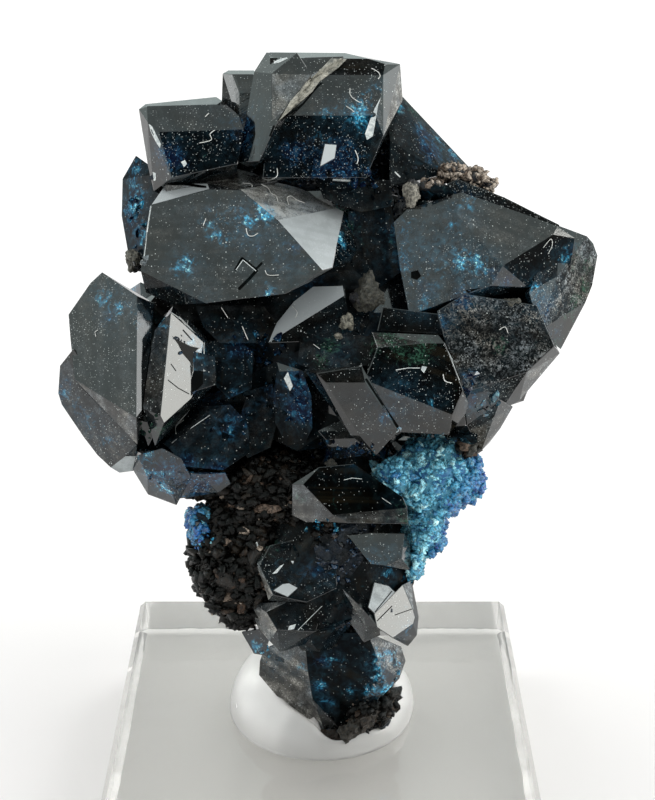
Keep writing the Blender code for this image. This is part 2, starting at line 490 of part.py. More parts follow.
habit("back_k", (-1.6, -14.0, -6.4), (2.4, 1.8, 1.7), (30.0, 10.0, 60.0))

# The stone: a seed inside it takes all the others in, then the pits and cracks are cut

seed = lump("seed", (-1.0, 2.0, -1.5), (6.0, 8.0, 3.0), 0.1, 2.0, 2, 30)
stone = bpy.data.objects.new("lazulite_specimen", seed.data)
bpy.context.scene.collection.objects.link(stone)
bpy.data.objects.remove(seed, do_unlink=True)


def combine(obj, name, operation, collection):
    step = obj.modifiers.new(name, "BOOLEAN")
    step.operation = operation
    step.operand_type = "COLLECTION"
    step.collection = collection
    step.solver = "EXACT"


combine(stone, "join", "UNION", joined)

# Pits and cracks: three-sided grooves sunk into the faces along lines seen from the front


def groove(name, start, end, wide, deep, w):
    """A groove from start to end on the picture plane, cut deep into whatever lies at depth w."""
    (a0, b0), (a1, b1) = start, end
    long = math.hypot(a1 - a0, b1 - b0)
    side = (-(b1 - b0) / long * wide / 2.0, (a1 - a0) / long * wide / 2.0)
    points = []
    for a, b in (start, end):
        points.append(eye_place(a + side[0], b + side[1], w + deep))
        points.append(eye_place(a - side[0], b - side[1], w + deep))
    points.append(eye_place(a0 * 0.8 + a1 * 0.2, b0 * 0.8 + b1 * 0.2, w - deep))
    points.append(eye_place(a0 * 0.2 + a1 * 0.8, b0 * 0.2 + b1 * 0.8, w - deep))
    return add_helper(name, hull_of([to_world(p) for p in points]), cut)


groove("mark_a", (-5.45, 7.6), (-4.85, 8.35), 0.28, 0.5, 6.3)
groove("mark_b", (-4.85, 8.25), (-4.05, 7.6), 0.3, 0.5, 6.35)
groove("mark_c", (-4.35, 7.65), (-3.75, 7.95), 0.26, 0.5, 6.35)
groove("mark_d", (-5.05, 6.35), (-4.15, 7.2), 0.34, 0.5, 6.6)
groove("mark_e", (-7.75, 9.3), (-7.35, 9.6), 0.22, 0.4, 5.75)
groove("mark_f", (-9.35, 12.42), (-6.9, 12.36), 0.14, 0.5, 4.1)
groove("pit_a", (-8.85, 3.75), (-8.0, 2.35), 0.5, 0.45, 5.4)
groove("pit_b", (-8.35, 3.1), (-7.85, 2.8), 0.3, 0.4, 5.1)
groove("pit_c", (-7.85, 2.9), (-7.75, 0.4), 0.24, 0.45, 4.95)
groove("crack_a", (2.05, 1.55), (4.15, -1.95), 0.2, 0.6, 5.85)
groove("chip_a", (7.9, 6.25), (10.6, 5.85), 0.55, 0.7, 4.4)
groove("nick_a", (-9.98, 13.15), (-9.85, 12.6), 0.3, 0.6, 4.9)
groove("step_a", (2.75, -12.3), (3.95, -11.15), 0.12, 0.4, 1.9)
groove("step_b", (2.7, -12.75), (4.45, -11.5), 0.1, 0.3, 1.7)

combine(stone, "cuts", "DIFFERENCE", cut)

# The dome, with a pocket that follows the lower end of the stone at a small distance

pocket_in = add_collection("pocket_in")
ROUND = [
    Vector(d).normalized() for d in (
        (0, 1, 1.618), (0, -1, 1.618), (0, 1, -1.618), (0, -1, -1.618),
        (1, 1.618, 0), (-1, 1.618, 0), (1, -1.618, 0), (-1, -1.618, 0),
        (1.618, 0, 1), (-1.618, 0, 1), (1.618, 0, -1), (-1.618, 0, -1),
    )
]
POCKET_REACH = 0.42


def pocket_for(name, sources):
    points = [v.co / MM for source in sources for v in bpy.data.objects[source].data.vertices]
    return add_helper(name, hull_of([p + d * POCKET_REACH for p in points for d in ROUND]), pocket_in)


pocket_for("pocket_tip", ["bottom", "rock_tip", "rock_toe"])
pocket_for("pocket_foot", ["core_foot", "back_k"])

bm = bmesh.new()
rings = []
for i in range(DOME_RINGS):
    rise = math.radians(90.0) * i / DOME_RINGS
    radius = DOME_WIDE / 2.0 * math.cos(rise)
    height = BASE_HIGH + GAP + DOME_HIGH * math.sin(rise)
    turns = [math.tau * k / DOME_SIDES for k in range(DOME_SIDES)]
    rings.append([bm.verts.new((radius * math.cos(t), radius * math.sin(t), height)) for t in turns])
crown = bm.verts.new((0.0, 0.0, BASE_HIGH + GAP + DOME_HIGH))
for low, high in zip(rings, rings[1:]):
    for k in range(DOME_SIDES):
        nxt = (k + 1) % DOME_SIDES
        bm.faces.new((low[k], low[nxt], high[nxt], high[k]))
for k in range(DOME_SIDES):
    bm.faces.new((rings[-1][k], rings[-1][(k + 1) % DOME_SIDES], crown))
bm.faces.new(list(reversed(rings[0])))
for face in bm.faces:
    face.smooth = len(face.verts) < DOME_SIDES
gel = add_object("mounting_gel", bm, bpy.context.scene.collection)
combine(gel, "pocket", "DIFFERENCE", pocket_in)

# The square base

bm = bmesh.new()
bmesh.ops.create_cube(bm, size=1.0)
bmesh.ops.scale(bm, vec=(BASE_SIDE, BASE_SIDE, BASE_HIGH), verts=bm.verts)
bmesh.ops.translate(bm, vec=(0.0, 0.0, BASE_HIGH / 2.0), verts=bm.verts)
bmesh.ops.bevel(bm, geom=bm.edges[:], offset=BASE_BEVEL, segments=1, affect="EDGES")
base = add_object("acrylic_base", bm, bpy.context.scene.collection)


def material(obj, name, colour, rough, clear=0.0, ior=1.5):
    made = bpy.data.materials.new(name)
    made.use_nodes = True
    shader = made.node_tree.nodes["Principled BSDF"]
    shader.inputs["Base Color"].default_value = (*colour, 1.0)
    shader.inputs["Roughness"].default_value = rough
    shader.inputs["Transmission Weight"].default_value = clear
    shader.inputs["IOR"].default_value = ior
    obj.data.materials.clear()
    obj.data.materials.append(made)


material(stone, "lazulite", (0.012, 0.03, 0.07), 0.15, ior=1.62)
material(gel, "clear_putty", (0.95, 0.95, 0.93), 0.08, clear=1.0, ior=1.42)
material(base, "clear_plastic", (0.98, 0.98, 0.98), 0.03, clear=1.0, ior=1.49)
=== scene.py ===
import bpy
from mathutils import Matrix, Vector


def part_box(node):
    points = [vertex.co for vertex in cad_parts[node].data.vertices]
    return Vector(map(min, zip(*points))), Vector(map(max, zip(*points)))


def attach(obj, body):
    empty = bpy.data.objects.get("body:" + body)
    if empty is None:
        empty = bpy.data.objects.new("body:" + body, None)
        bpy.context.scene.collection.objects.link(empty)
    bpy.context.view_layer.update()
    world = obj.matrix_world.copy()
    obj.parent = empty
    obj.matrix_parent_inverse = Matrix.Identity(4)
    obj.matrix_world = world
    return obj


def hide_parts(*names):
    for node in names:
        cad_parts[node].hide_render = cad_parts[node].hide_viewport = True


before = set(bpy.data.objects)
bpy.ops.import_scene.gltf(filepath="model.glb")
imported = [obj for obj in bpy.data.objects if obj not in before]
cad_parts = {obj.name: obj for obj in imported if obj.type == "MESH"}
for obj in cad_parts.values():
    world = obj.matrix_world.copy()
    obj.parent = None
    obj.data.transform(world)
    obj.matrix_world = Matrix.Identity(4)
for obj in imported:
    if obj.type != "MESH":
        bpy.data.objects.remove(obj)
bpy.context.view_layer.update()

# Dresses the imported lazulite: glossy dark crystals with blue inside, brown granular rock, a
# turquoise crust, dust and lint, the clear putty dome and the clear base, in soft studio light.
# Lengths are millimetres until a mesh is written. A place that is read off the picture is given as
# x and y on a picture 655 wide and 800 high, and is then found on the stone along the line of sight.

import math
import random

import bmesh
import bpy
import numpy as np
from mathutils import Matrix, Vector, noise
from mathutils.bvhtree import BVHTree

MM = 0.001
EYE = Vector((0.37, -83.85, 64.54))
EYE_DOWN = math.radians(24.14)
LENS = 72.0
SENSOR = 36.0
PICTURE_MIDDLE = (327.5, 400.0)
PICTURE_FOCUS = 1600.0  # LENS / SENSOR times the picture's height
TO_PLANE = 92.0  # from the eye to the plane through the stone's middle

RIGHT = Vector((1.0, 0.0, 0.0))
AHEAD = Vector((0.0, math.cos(EYE_DOWN), -math.sin(EYE_DOWN)))
ABOVE = Vector((0.0, math.sin(EYE_DOWN), math.cos(EYE_DOWN)))

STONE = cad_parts["lazulite_specimen"]


def sight(x, y):
    """The direction from the eye through a place on the picture."""
    side = (x - PICTURE_MIDDLE[0]) / PICTURE_FOCUS
    rise = (PICTURE_MIDDLE[1] - y) / PICTURE_FOCUS
    return (AHEAD + RIGHT * side + ABOVE * rise).normalized()


def on_picture(p):
    """Where on the picture a point is seen."""
    ray = p - EYE
    depth = ray.dot(AHEAD)
    x = PICTURE_MIDDLE[0] + PICTURE_FOCUS * ray.dot(RIGHT) / depth
    return x, PICTURE_MIDDLE[1] - PICTURE_FOCUS * ray.dot(ABOVE) / depth


# Meshes

def ride_on_body(name, mesh):
    """Puts a mesh in the scene as a piece of the stone's body."""
    piece = bpy.data.objects.new(name, mesh)
    bpy.context.scene.collection.objects.link(piece)
    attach(piece, "root")
    return piece


def mesh_piece(name, bm):
    """Writes a bmesh that is in millimetres as a piece that rides on the stone's body."""
    mesh = bpy.data.meshes.new(name)
    bmesh.ops.scale(bm, vec=(MM, MM, MM), verts=bm.verts)
    bm.to_mesh(mesh)
    bm.free()
    return ride_on_body(name, mesh)


def join_in(bm, part):
    """Adds a bmesh to another and gives how many points and faces it brought."""
    mesh = bpy.data.meshes.new("one_part")
    part.to_mesh(mesh)
    part.free()
    points, faces = len(bm.verts), len(bm.faces)
    bm.from_mesh(mesh)
    bpy.data.meshes.remove(mesh)
    return len(bm.verts) - points, len(bm.faces) - faces


def set_values(mesh, name, values, domain="POINT"):
    """Keeps one value for each point or face of a mesh, for its materials to read."""
    layer = mesh.attributes.new(name, "FLOAT", domain)
    layer.data.foreach_set("value", np.asarray(values, dtype=np.float32))


INSIDE_VALUES = ("blue", "turquoise", "green", "haze", "lines")
# The film value is partly a real dust film and partly painted sheen and highlight on chosen faces.
SURFACE_VALUES = ("film_and_sheen", "dust", "etched")


def set_crystal_values(mesh, of_points, of_faces):
    for name, values in zip(INSIDE_VALUES, of_points):
        set_values(mesh, name, values)
    for name, values in zip(SURFACE_VALUES, of_faces):
        set_values(mesh, name, values, "FACE")


# The stone's flat faces, sorted into crystals and rock

SAME_PLANE = 0.03  # how far a point may stand off a face's plane and still count as on it
LEAST_FACET = 1.25  # square millimetres; a smaller flat face starts no crystal of its own
# Places on the picture where a smaller face is a crystal all the same
SMALL_CRYSTALS = [(256, 647), (330, 155), (285, 592), (382, 600), (397, 615), (345, 440), (262, 606)]


def stone_in_mm():
    """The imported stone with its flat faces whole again."""
    bm = bmesh.new()
    bm.from_mesh(STONE.data)
    bmesh.ops.scale(bm, vec=(1.0 / MM,) * 3, verts=bm.verts)
    bmesh.ops.remove_doubles(bm, verts=bm.verts, dist=0.001)
    bmesh.ops.dissolve_limit(bm, angle_limit=math.radians(0.8), verts=bm.verts, edges=bm.edges)
    bm.normal_update()
    bm.faces.ensure_lookup_table()
    return bm


class Growth:
    """Flat faces that belong to one convex crystal, with their normals, offsets and corners."""

    def __init__(self, face):
        self.faces = [face]
        self.normals = np.array([face.normal])
        self.offsets = np.array([face.normal.dot(face.verts[0].co)])
        self.points = np.array([v.co for v in face.verts])
        self.largest = face.calc_area()

    def takes(self, other):
        """Whether the other's faces lie on the same convex solid as these."""
        if np.any(other.points @ self.normals.T > self.offsets + SAME_PLANE):
            return False
        return not np.any(self.points @ other.normals.T > other.offsets + SAME_PLANE)

    def shares_plane(self, other):
        alike = self.normals @ other.normals.T > 0.99998
        near = np.abs(self.offsets[:, None] - other.offsets[None, :]) < SAME_PLANE
        return bool(np.any(alike & near))

    def add(self, other):
        self.faces += other.faces
        self.normals = np.vstack([self.normals, other.normals])
        self.offsets = np.concatenate([self.offsets, other.offsets])
        self.points = np.vstack([self.points, other.points])
        self.largest = max(self.largest, other.largest)


def sort_faces(bm, tree):
    """The crystals as growths, and the faces left over for rock, both in the same order every time."""
    small = set()
    for x, y in SMALL_CRYSTALS:
        hit = tree.ray_cast(EYE, sight(x, y))
        if hit[2] is not None:
            small.add(hit[2])
    order = sorted(bm.faces, key=lambda f: -f.calc_area())
    free = set(bm.faces)
    growths = []
    for start in order:
        if start not in free:
            continue
        if start.calc_area() < LEAST_FACET and start.index not in small:
            continue
        free.discard(start)
        grown = Growth(start)
        edge_of_growth = [start]
        while edge_of_growth:
            face = edge_of_growth.pop(0)
            for edge in face.edges:
                if len(edge.link_faces) != 2 or edge.calc_face_angle_signed() < math.radians(0.4):
                    continue
                for other in edge.link_faces:
                    if other not in free:
                        continue
                    one = Growth(other)
                    if grown.takes(one):
                        grown.add(one)
                        free.discard(other)
                        edge_of_growth.append(other)
        growths.append(grown)
    merged = []
    for grown in sorted(growths, key=lambda g: -g.largest):
        for held in merged:
            if held.shares_plane(grown) and held.takes(grown):
                held.add(grown)
                break
        else:
            merged.append(grown)
    for face in sorted([f for f in bm.faces if f in free], key=lambda f: -f.calc_area()):
        one = Growth(face)
        for held in merged:
            if held.shares_plane(one) and held.takes(one):
                held.add(one)
                free.discard(face)
                break
    return merged, [face for face in bm.faces if face in free]


def round_directions():
    ball = bmesh.new()
    bmesh.ops.create_icosphere(ball, subdivisions=1, radius=1.0)
    directions = [v.co.copy() for v in ball.verts]
    ball.free()
    return directions


def hull(points):
    """The smallest convex solid around the points."""
    bm = bmesh.new()
    for p in points:
        bm.verts.new(p)
    made = bmesh.ops.convex_hull(bm, input=bm.verts)
    spare = [v for v in made["geom_interior"] + made["geom_unused"] if isinstance(v, bmesh.types.BMVert)]
    bmesh.ops.delete(bm, geom=list(dict.fromkeys(spare)), context="VERTS")
    return bm


ROUND_DIRECTIONS = round_directions()
TAPER, DEPTH_OF_PLATE = 0.7, 1.2  # the hidden end of a crystal that shows only one or two faces


def crystal_mesh(grown, blunt):
    """A crystal with slightly blunted edges around the faces that were found for it."""
    points = [Vector(p) for p in grown.points]
    if len(grown.faces) < 3:
        middle = sum(points, Vector()) / len(points)
        inward = -Vector(grown.normals.mean(axis=0)).normalized() * DEPTH_OF_PLATE
        points += [middle + (p - middle) * TAPER + inward for p in points]
    first = hull(points)
    bmesh.ops.dissolve_limit(first, angle_limit=math.radians(0.8), verts=first.verts, edges=first.edges)
    corners = [v.co.copy() for v in first.verts]
    first.free()
    bm = hull([c + d * blunt for c in corners for d in ROUND_DIRECTIONS])
    bmesh.ops.dissolve_limit(bm, angle_limit=math.radians(0.5), verts=bm.verts, edges=bm.edges)
    return bm


CELL = 0.55  # the size of the cells that the crystals' faces are cut into
OFF_CORNERS = 0.013  # keeps the cuts off corners that lie on whole cells


def divide(bm):
    """Cuts the crystal's faces into small cells so that values can change across them."""
    for axis in range(3):
        low = min(v.co[axis] for v in bm.verts)
        high = max(v.co[axis] for v in bm.verts)
        normal = Vector((0.0, 0.0, 0.0))
        normal[axis] = 1.0
        at = (math.floor(low / CELL) + 1) * CELL + OFF_CORNERS
        while at < high:
            point = normal * at
            bmesh.ops.bisect_plane(
                bm, geom=bm.verts[:] + bm.edges[:] + bm.faces[:], dist=0.002, plane_co=point, plane_no=normal,
            )
            at += CELL


# Small tools for the materials

def put(tree, kind, ins=None, **settings):
    """Adds a node with its settings, and gives each input a value or a link."""
    made = tree.nodes.new(kind)
    for key, value in settings.items():
        setattr(made, key, value)
    for key, value in (ins or {}).items():
        if isinstance(value, bpy.types.NodeSocket):
            tree.links.new(value, made.inputs[key])
        else:
            made.inputs[key].default_value = value
    return made


def math_node(tree, operation, a, b=0.0, clamp=False):
    return put(tree, "ShaderNodeMath", {0: a, 1: b}, operation=operation, use_clamp=clamp).outputs[0]


def times(tree, a, b, clamp=False):
    return math_node(tree, "MULTIPLY", a, b, clamp)


def plus(tree, a, b, clamp=False):
    return math_node(tree, "ADD", a, b, clamp)


def minus(tree, a, b):
    return math_node(tree, "SUBTRACT", a, b)


def around_zero(tree, noise_value, strength):
    """A noise value of 0 to 1 made to swing about zero."""
    return times(tree, minus(tree, noise_value, 0.5), strength)


def blend_colours(tree, factor, a, b):
    made = put(tree, "ShaderNodeMix", data_type="RGBA")
    for index, value in ((0, factor), (6, a), (7, b)):
        if isinstance(value, bpy.types.NodeSocket):
            tree.links.new(value, made.inputs[index])
        else:
            made.inputs[index].default_value = value if index == 0 else (*value, 1.0)
    return made.outputs[2]


def between(tree, value, low, high, to_low=0.0, to_high=1.0, smooth=True):
    """A value spread from low..high to to_low..to_high, held at both ends."""
    made = put(
        tree, "ShaderNodeMapRange", {0: value, 1: low, 2: high, 3: to_low, 4: to_high}, clamp=True,
        interpolation_type="SMOOTHSTEP" if smooth else "LINEAR",
    )
    return made.outputs[0]


def place_mm(tree):
    """The place on the object in millimetres."""
    coordinates = put(tree, "ShaderNodeTexCoord")
    scaled = put(tree, "ShaderNodeVectorMath", {0: coordinates.outputs["Object"]}, operation="SCALE")
    scaled.inputs["Scale"].default_value = 1.0 / MM
    return scaled.outputs[0]


def noise_node(tree, place, scale, detail=3.0, rough=0.55, distortion=0.0):
    return put(tree, "ShaderNodeTexNoise", {
        "Vector": place, "Scale": scale, "Detail": detail, "Roughness": rough, "Distortion": distortion,
    })


def line_noise(tree, lines, scale, detail):
    """Noise that changes only across a crystal's growth lines."""
    ins = {"W": lines, "Scale": scale, "Detail": detail}
    return put(tree, "ShaderNodeTexNoise", ins, noise_dimensions="1D").outputs[0]


def bumped(tree, height, strength, distance_mm):
    """The normal of a surface with this fine relief."""
    ins = {"Strength": strength, "Distance": distance_mm * MM, "Height": height}
    return put(tree, "ShaderNodeBump", ins).outputs["Normal"]


def parts_of(tree, colour):
    return put(tree, "ShaderNodeSeparateColor", {0: colour}).outputs


def new_group(name, inputs, outputs):
    """A shader group with inputs that are plain values and outputs by (name, kind)."""
    group = bpy.data.node_groups.new(name, "ShaderNodeTree")
    for label in inputs:
        group.interface.new_socket(name=label, in_out="INPUT", socket_type="NodeSocketFloat")
    for label, kind in outputs:
        group.interface.new_socket(name=label, in_out="OUTPUT", socket_type="NodeSocket" + kind)
    return group, group.nodes.new("NodeGroupInput").outputs, group.nodes.new("NodeGroupOutput").inputs


def use_group(tree, group, ins):
    made = tree.nodes.new("ShaderNodeGroup")
    made.node_tree = group
    for key, value in ins.items():
        if isinstance(value, bpy.types.NodeSocket):
            tree.links.new(value, made.inputs[key])
        else:
            made.inputs[key].default_value = value
    return made.outputs


def new_material(name, **sockets):
    """A material with one Principled shader, and its plain values."""
    made = bpy.data.materials.new(name)
    made.use_nodes = True
    shader = made.node_tree.nodes["Principled BSDF"]
    for key, value in sockets.items():
        label = key.replace("_", " ")
        shader.inputs[label].default_value = (*value, 1.0) if isinstance(value, tuple) else value
    return made, made.node_tree, shader


def attribute(tree, name):
    return put(tree, "ShaderNodeAttribute", attribute_name=name, attribute_type="GEOMETRY").outputs["Fac"]


# Shared effects

# Specks of each size: cells a millimetre, share of the amount, smallest and largest in a cell, faintest, strongest
DUST_SIZES = [
    (11.0, 1.7, 0.2, 0.42, 0.05, 0.55), (5.5, 0.9, 0.12, 0.26, 0.1, 0.85), (2.3, 0.3, 0.06, 0.12, 0.4, 1.0),
]


def build_dust_specks():
    """Pale specks of dust, many fine faint ones and some larger: a mask, by the amount."""
    group, given, out = new_group("dust_specks", ["Amount"], [("Mask", "Float")])
    place = place_mm(group)
    drift = between(group, noise_node(group, place, 0.55, 3.0, 0.5).outputs["Fac"], 0.36, 0.64, 0.35, 1.65)
    amount = times(group, given["Amount"], drift)
    mask = 0.0
    for per_mm, share, small, large, faint, strong in DUST_SIZES:
        cells = put(group, "ShaderNodeTexVoronoi", {"Vector": place, "Scale": per_mm})
        parts = parts_of(group, cells.outputs["Color"])
        chosen = math_node(group, "LESS_THAN", parts[0], times(group, amount, share))
        reach = between(group, parts[1], 0.0, 1.0, small, large, smooth=False)
        inner = times(group, reach, 0.6)
        near = between(group, cells.outputs["Distance"], inner, reach, 1.0, 0.0)
        tone = between(group, parts[2], 0.0, 1.0, faint, strong, smooth=False)
        dots = times(group, times(group, chosen, near), tone)
        mask = math_node(group, "MAXIMUM", mask, dots)
    group.links.new(mask, out["Mask"])
    return group


def build_inner_blue_and_painted_light():
    """Colour seen inside a crystal: near black, with clouds of blue and turquoise flecks. The blue is the crystal's
    own colour, painted where light shines through it; the turquoise, the green and the bright flecks are painted
    light through thin parts and painted glints.
    """
    group, given, out = new_group(
        "inner_blue_and_painted_light", ["Blue", "Turquoise", "Green", "Haze", "Lines"], [("Color", "Color")],
    )
    place = place_mm(group)
    wide = noise_node(group, place, 0.3, 2.0, 0.5).outputs["Fac"]
    bands = line_noise(group, given["Lines"], 1.3, 4.0)
    cloud = noise_node(group, place, 0.8, 5.0, 0.6).outputs["Fac"]
    grain = noise_node(group, place, 3.2, 5.0, 0.65, 0.6).outputs["Fac"]
    fleck = noise_node(group, place, 8.0, 2.0, 0.5).outputs["Fac"]
    cells = put(group, "ShaderNodeTexVoronoi", {"Vector": place, "Scale": 9.0})
    shade = parts_of(group, cells.outputs["Color"])
    dark = blend_colours(group, between(group, cloud, 0.42, 0.66), (0.0006, 0.0007, 0.0007), (0.0012, 0.0028, 0.0032))
    banded = times(group, between(group, bands, 0.46, 0.62, 0.15, 1.0), between(group, wide, 0.48, 0.62))
    dark = blend_colours(group, banded, dark, (0.0075, 0.0062, 0.0036))
    dark = blend_colours(group, between(group, grain, 0.54, 0.72), dark, (0.0035, 0.0062, 0.0064))
    veil = blend_colours(group, between(group, grain, 0.36, 0.66), (0.004, 0.011, 0.02), (0.02, 0.056, 0.082))
    veiled = times(group, given["Haze"], between(group, cloud, 0.3, 0.6, 0.35, 1.2), clamp=True)
    dark = blend_colours(group, veiled, dark, veil)

    spread = around_zero(group, cloud, 1.5)
    mottle = around_zero(group, grain, 1.2)
    ragged = plus(group, spread, mottle)
    blue = between(group, plus(group, given["Blue"], ragged), 0.35, 1.25)
    navy = blend_colours(group, between(group, grain, 0.44, 0.64), (0.0028, 0.006, 0.024), (0.01, 0.042, 0.085))
    # Painted glints: bright flecks in the blue.
    glimmer = times(group, between(group, shade[0], 0.8, 1.0), between(group, fleck, 0.5, 0.62))
    colour = blend_colours(group, blue, dark, blend_colours(group, glimmer, navy, (0.06, 0.22, 0.4)))

    # Painted light shining through thin parts: turquoise mist with bright painted glints.
    fine = around_zero(group, grain, 2.6)
    reach = plus(group, given["Turquoise"], times(group, plus(group, fine, spread), 0.6))
    turquoise = between(group, reach, 0.38, 1.0)
    misty = blend_colours(group, between(group, grain, 0.4, 0.64), (0.004, 0.042, 0.085), (0.02, 0.15, 0.25))
    core = between(group, reach, 0.5, 0.95)
    bright = times(group, between(group, shade[1], 0.25, 0.7), between(group, fleck, 0.44, 0.54))
    bright = times(group, bright, core)
    sparkle = blend_colours(group, between(group, shade[2], 0.5, 0.95), (0.06, 0.45, 0.75), (0.5, 1.0, 1.0))
    lit = blend_colours(group, bright, misty, sparkle)
    colour = blend_colours(group, turquoise, colour, lit)

    # Painted light through thin edges: a green tint.
    green = between(group, plus(group, given["Green"], fine), 0.3, 1.1)
    greenish = blend_colours(group, between(group, fleck, 0.45, 0.62), (0.006, 0.016, 0.011), (0.03, 0.085, 0.055))
    colour = blend_colours(group, green, colour, greenish)
    group.links.new(colour, out["Color"])
    return group


def build_grown_relief():
    """The fine relief of a grown face: low waves, growth lines and etched pits."""
    group, given, out = new_group("grown_relief", ["Lines", "Etched"], [("Normal", "Vector")])
    place = place_mm(group)
    waves = noise_node(group, place, 0.3, 2.0, 0.5).outputs["Fac"]
    fine = noise_node(group, place, 5.0, 4.0, 0.65).outputs["Fac"]
    lines = line_noise(group, given["Lines"], 2.6, 5.0)
    height = times(group, waves, 0.5)
    height = plus(group, height, times(group, lines, 0.06))
    pits = times(group, fine, times(group, given["Etched"], 0.35))
    height = plus(group, height, pits)
    group.links.new(bumped(group, height, 0.4, 0.2), out["Normal"])
    return group


def build_surface_film_and_sheen():
    """A thin pale film in clouds, warmer here and cooler there, with etched lines left dark. On chosen faces it is
    painted sheen and highlight.
    """
    group, given, out = new_group(
        "surface_film_and_sheen", ["Amount", "Etched", "Lines"], [("Color", "Color"), ("Mask", "Float")],
    )
    place = place_mm(group)
    wide = noise_node(group, place, 0.45, 3.0, 0.5).outputs["Fac"]
    cloud = noise_node(group, place, 1.7, 5.0, 0.62).outputs["Fac"]
    lines = noise_node(group, place, 4.5, 5.0, 0.7, 1.5).outputs["Fac"]
    # Painted sheen: on chosen faces these pale tints stand in for the light mirrored there.
    tint = blend_colours(group, between(group, wide, 0.4, 0.6), (0.46, 0.45, 0.405), (0.4, 0.455, 0.485))
    tint = blend_colours(group, between(group, given["Amount"], 0.3, 0.8), tint, (0.405, 0.445, 0.455))
    group.links.new(tint, out["Color"])
    powder = noise_node(group, place, 13.0, 3.0, 0.7).outputs["Fac"]
    patchy = times(group, between(group, cloud, 0.34, 0.66, 0.3, 1.8), between(group, powder, 0.36, 0.64, 0.5, 1.6))
    holes = put(group, "ShaderNodeCombineColor", {0: between(group, lines, 0.46, 0.6, 0.0, 2.5)}).outputs[0]
    holed = parts_of(group, blend_colours(group, given["Etched"], (1.0, 1.0, 1.0), holes))[0]
    streaks = line_noise(group, given["Lines"], 1.1, 3.0)
    streaked = times(group, patchy, between(group, streaks, 0.35, 0.65, 0.45, 1.8))
    varied = minus(group, times(group, streaked, holed), 1.0)
    varied = times(group, varied, minus(group, 1.0, given["Amount"]))
    mask = times(group, given["Amount"], plus(group, varied, 1.0), clamp=True)
    group.links.new(mask, out["Mask"])
    return group


dust_specks = build_dust_specks()
inner_blue_and_painted_light = build_inner_blue_and_painted_light()
grown_relief = build_grown_relief()
surface_film_and_sheen = build_surface_film_and_sheen()


def crystal_material(name, specular, least_rough):
    """Near-black glossy crystal with blue and painted light inside, under its film with painted sheen, dust and
    etching.
    """
    made, tree, shader = new_material(name, IOR=1.62, Specular_IOR_Level=specular)
    held = {name: attribute(tree, name) for name in INSIDE_VALUES + SURFACE_VALUES}
    etched, lines = held["etched"], held["lines"]
    inside = use_group(tree, inner_blue_and_painted_light, {name.capitalize(): held[name] for name in INSIDE_VALUES})
    film_and_sheen = use_group(tree, surface_film_and_sheen, {"Amount": held["film_and_sheen"], "Etched": etched, "Lines": lines})
    specks = use_group(tree, dust_specks, {"Amount": held["dust"]})["Mask"]
    # The film's pale colour is partly a dust film and partly painted sheen and highlight on chosen faces.
    colour = blend_colours(tree, film_and_sheen["Mask"], inside["Color"], film_and_sheen["Color"])
    colour = blend_colours(tree, specks, colour, (0.68, 0.74, 0.72))
    tree.links.new(colour, shader.inputs["Base Color"])
    rough = plus(tree, times(tree, film_and_sheen["Mask"], 0.5), least_rough)
    rough = plus(tree, rough, times(tree, etched, 0.12))
    rough = plus(tree, rough, times(tree, specks, 0.4), clamp=True)
    tree.links.new(rough, shader.inputs["Roughness"])
    relief = use_group(tree, grown_relief, {"Lines": lines, "Etched": etched})
    tree.links.new(relief["Normal"], shader.inputs["Normal"])
    return made


# The stone, sorted

flat_stone = stone_in_mm()
stone_tree = BVHTree.FromBMesh(flat_stone)
growths, rock_faces = sort_faces(flat_stone, stone_tree)
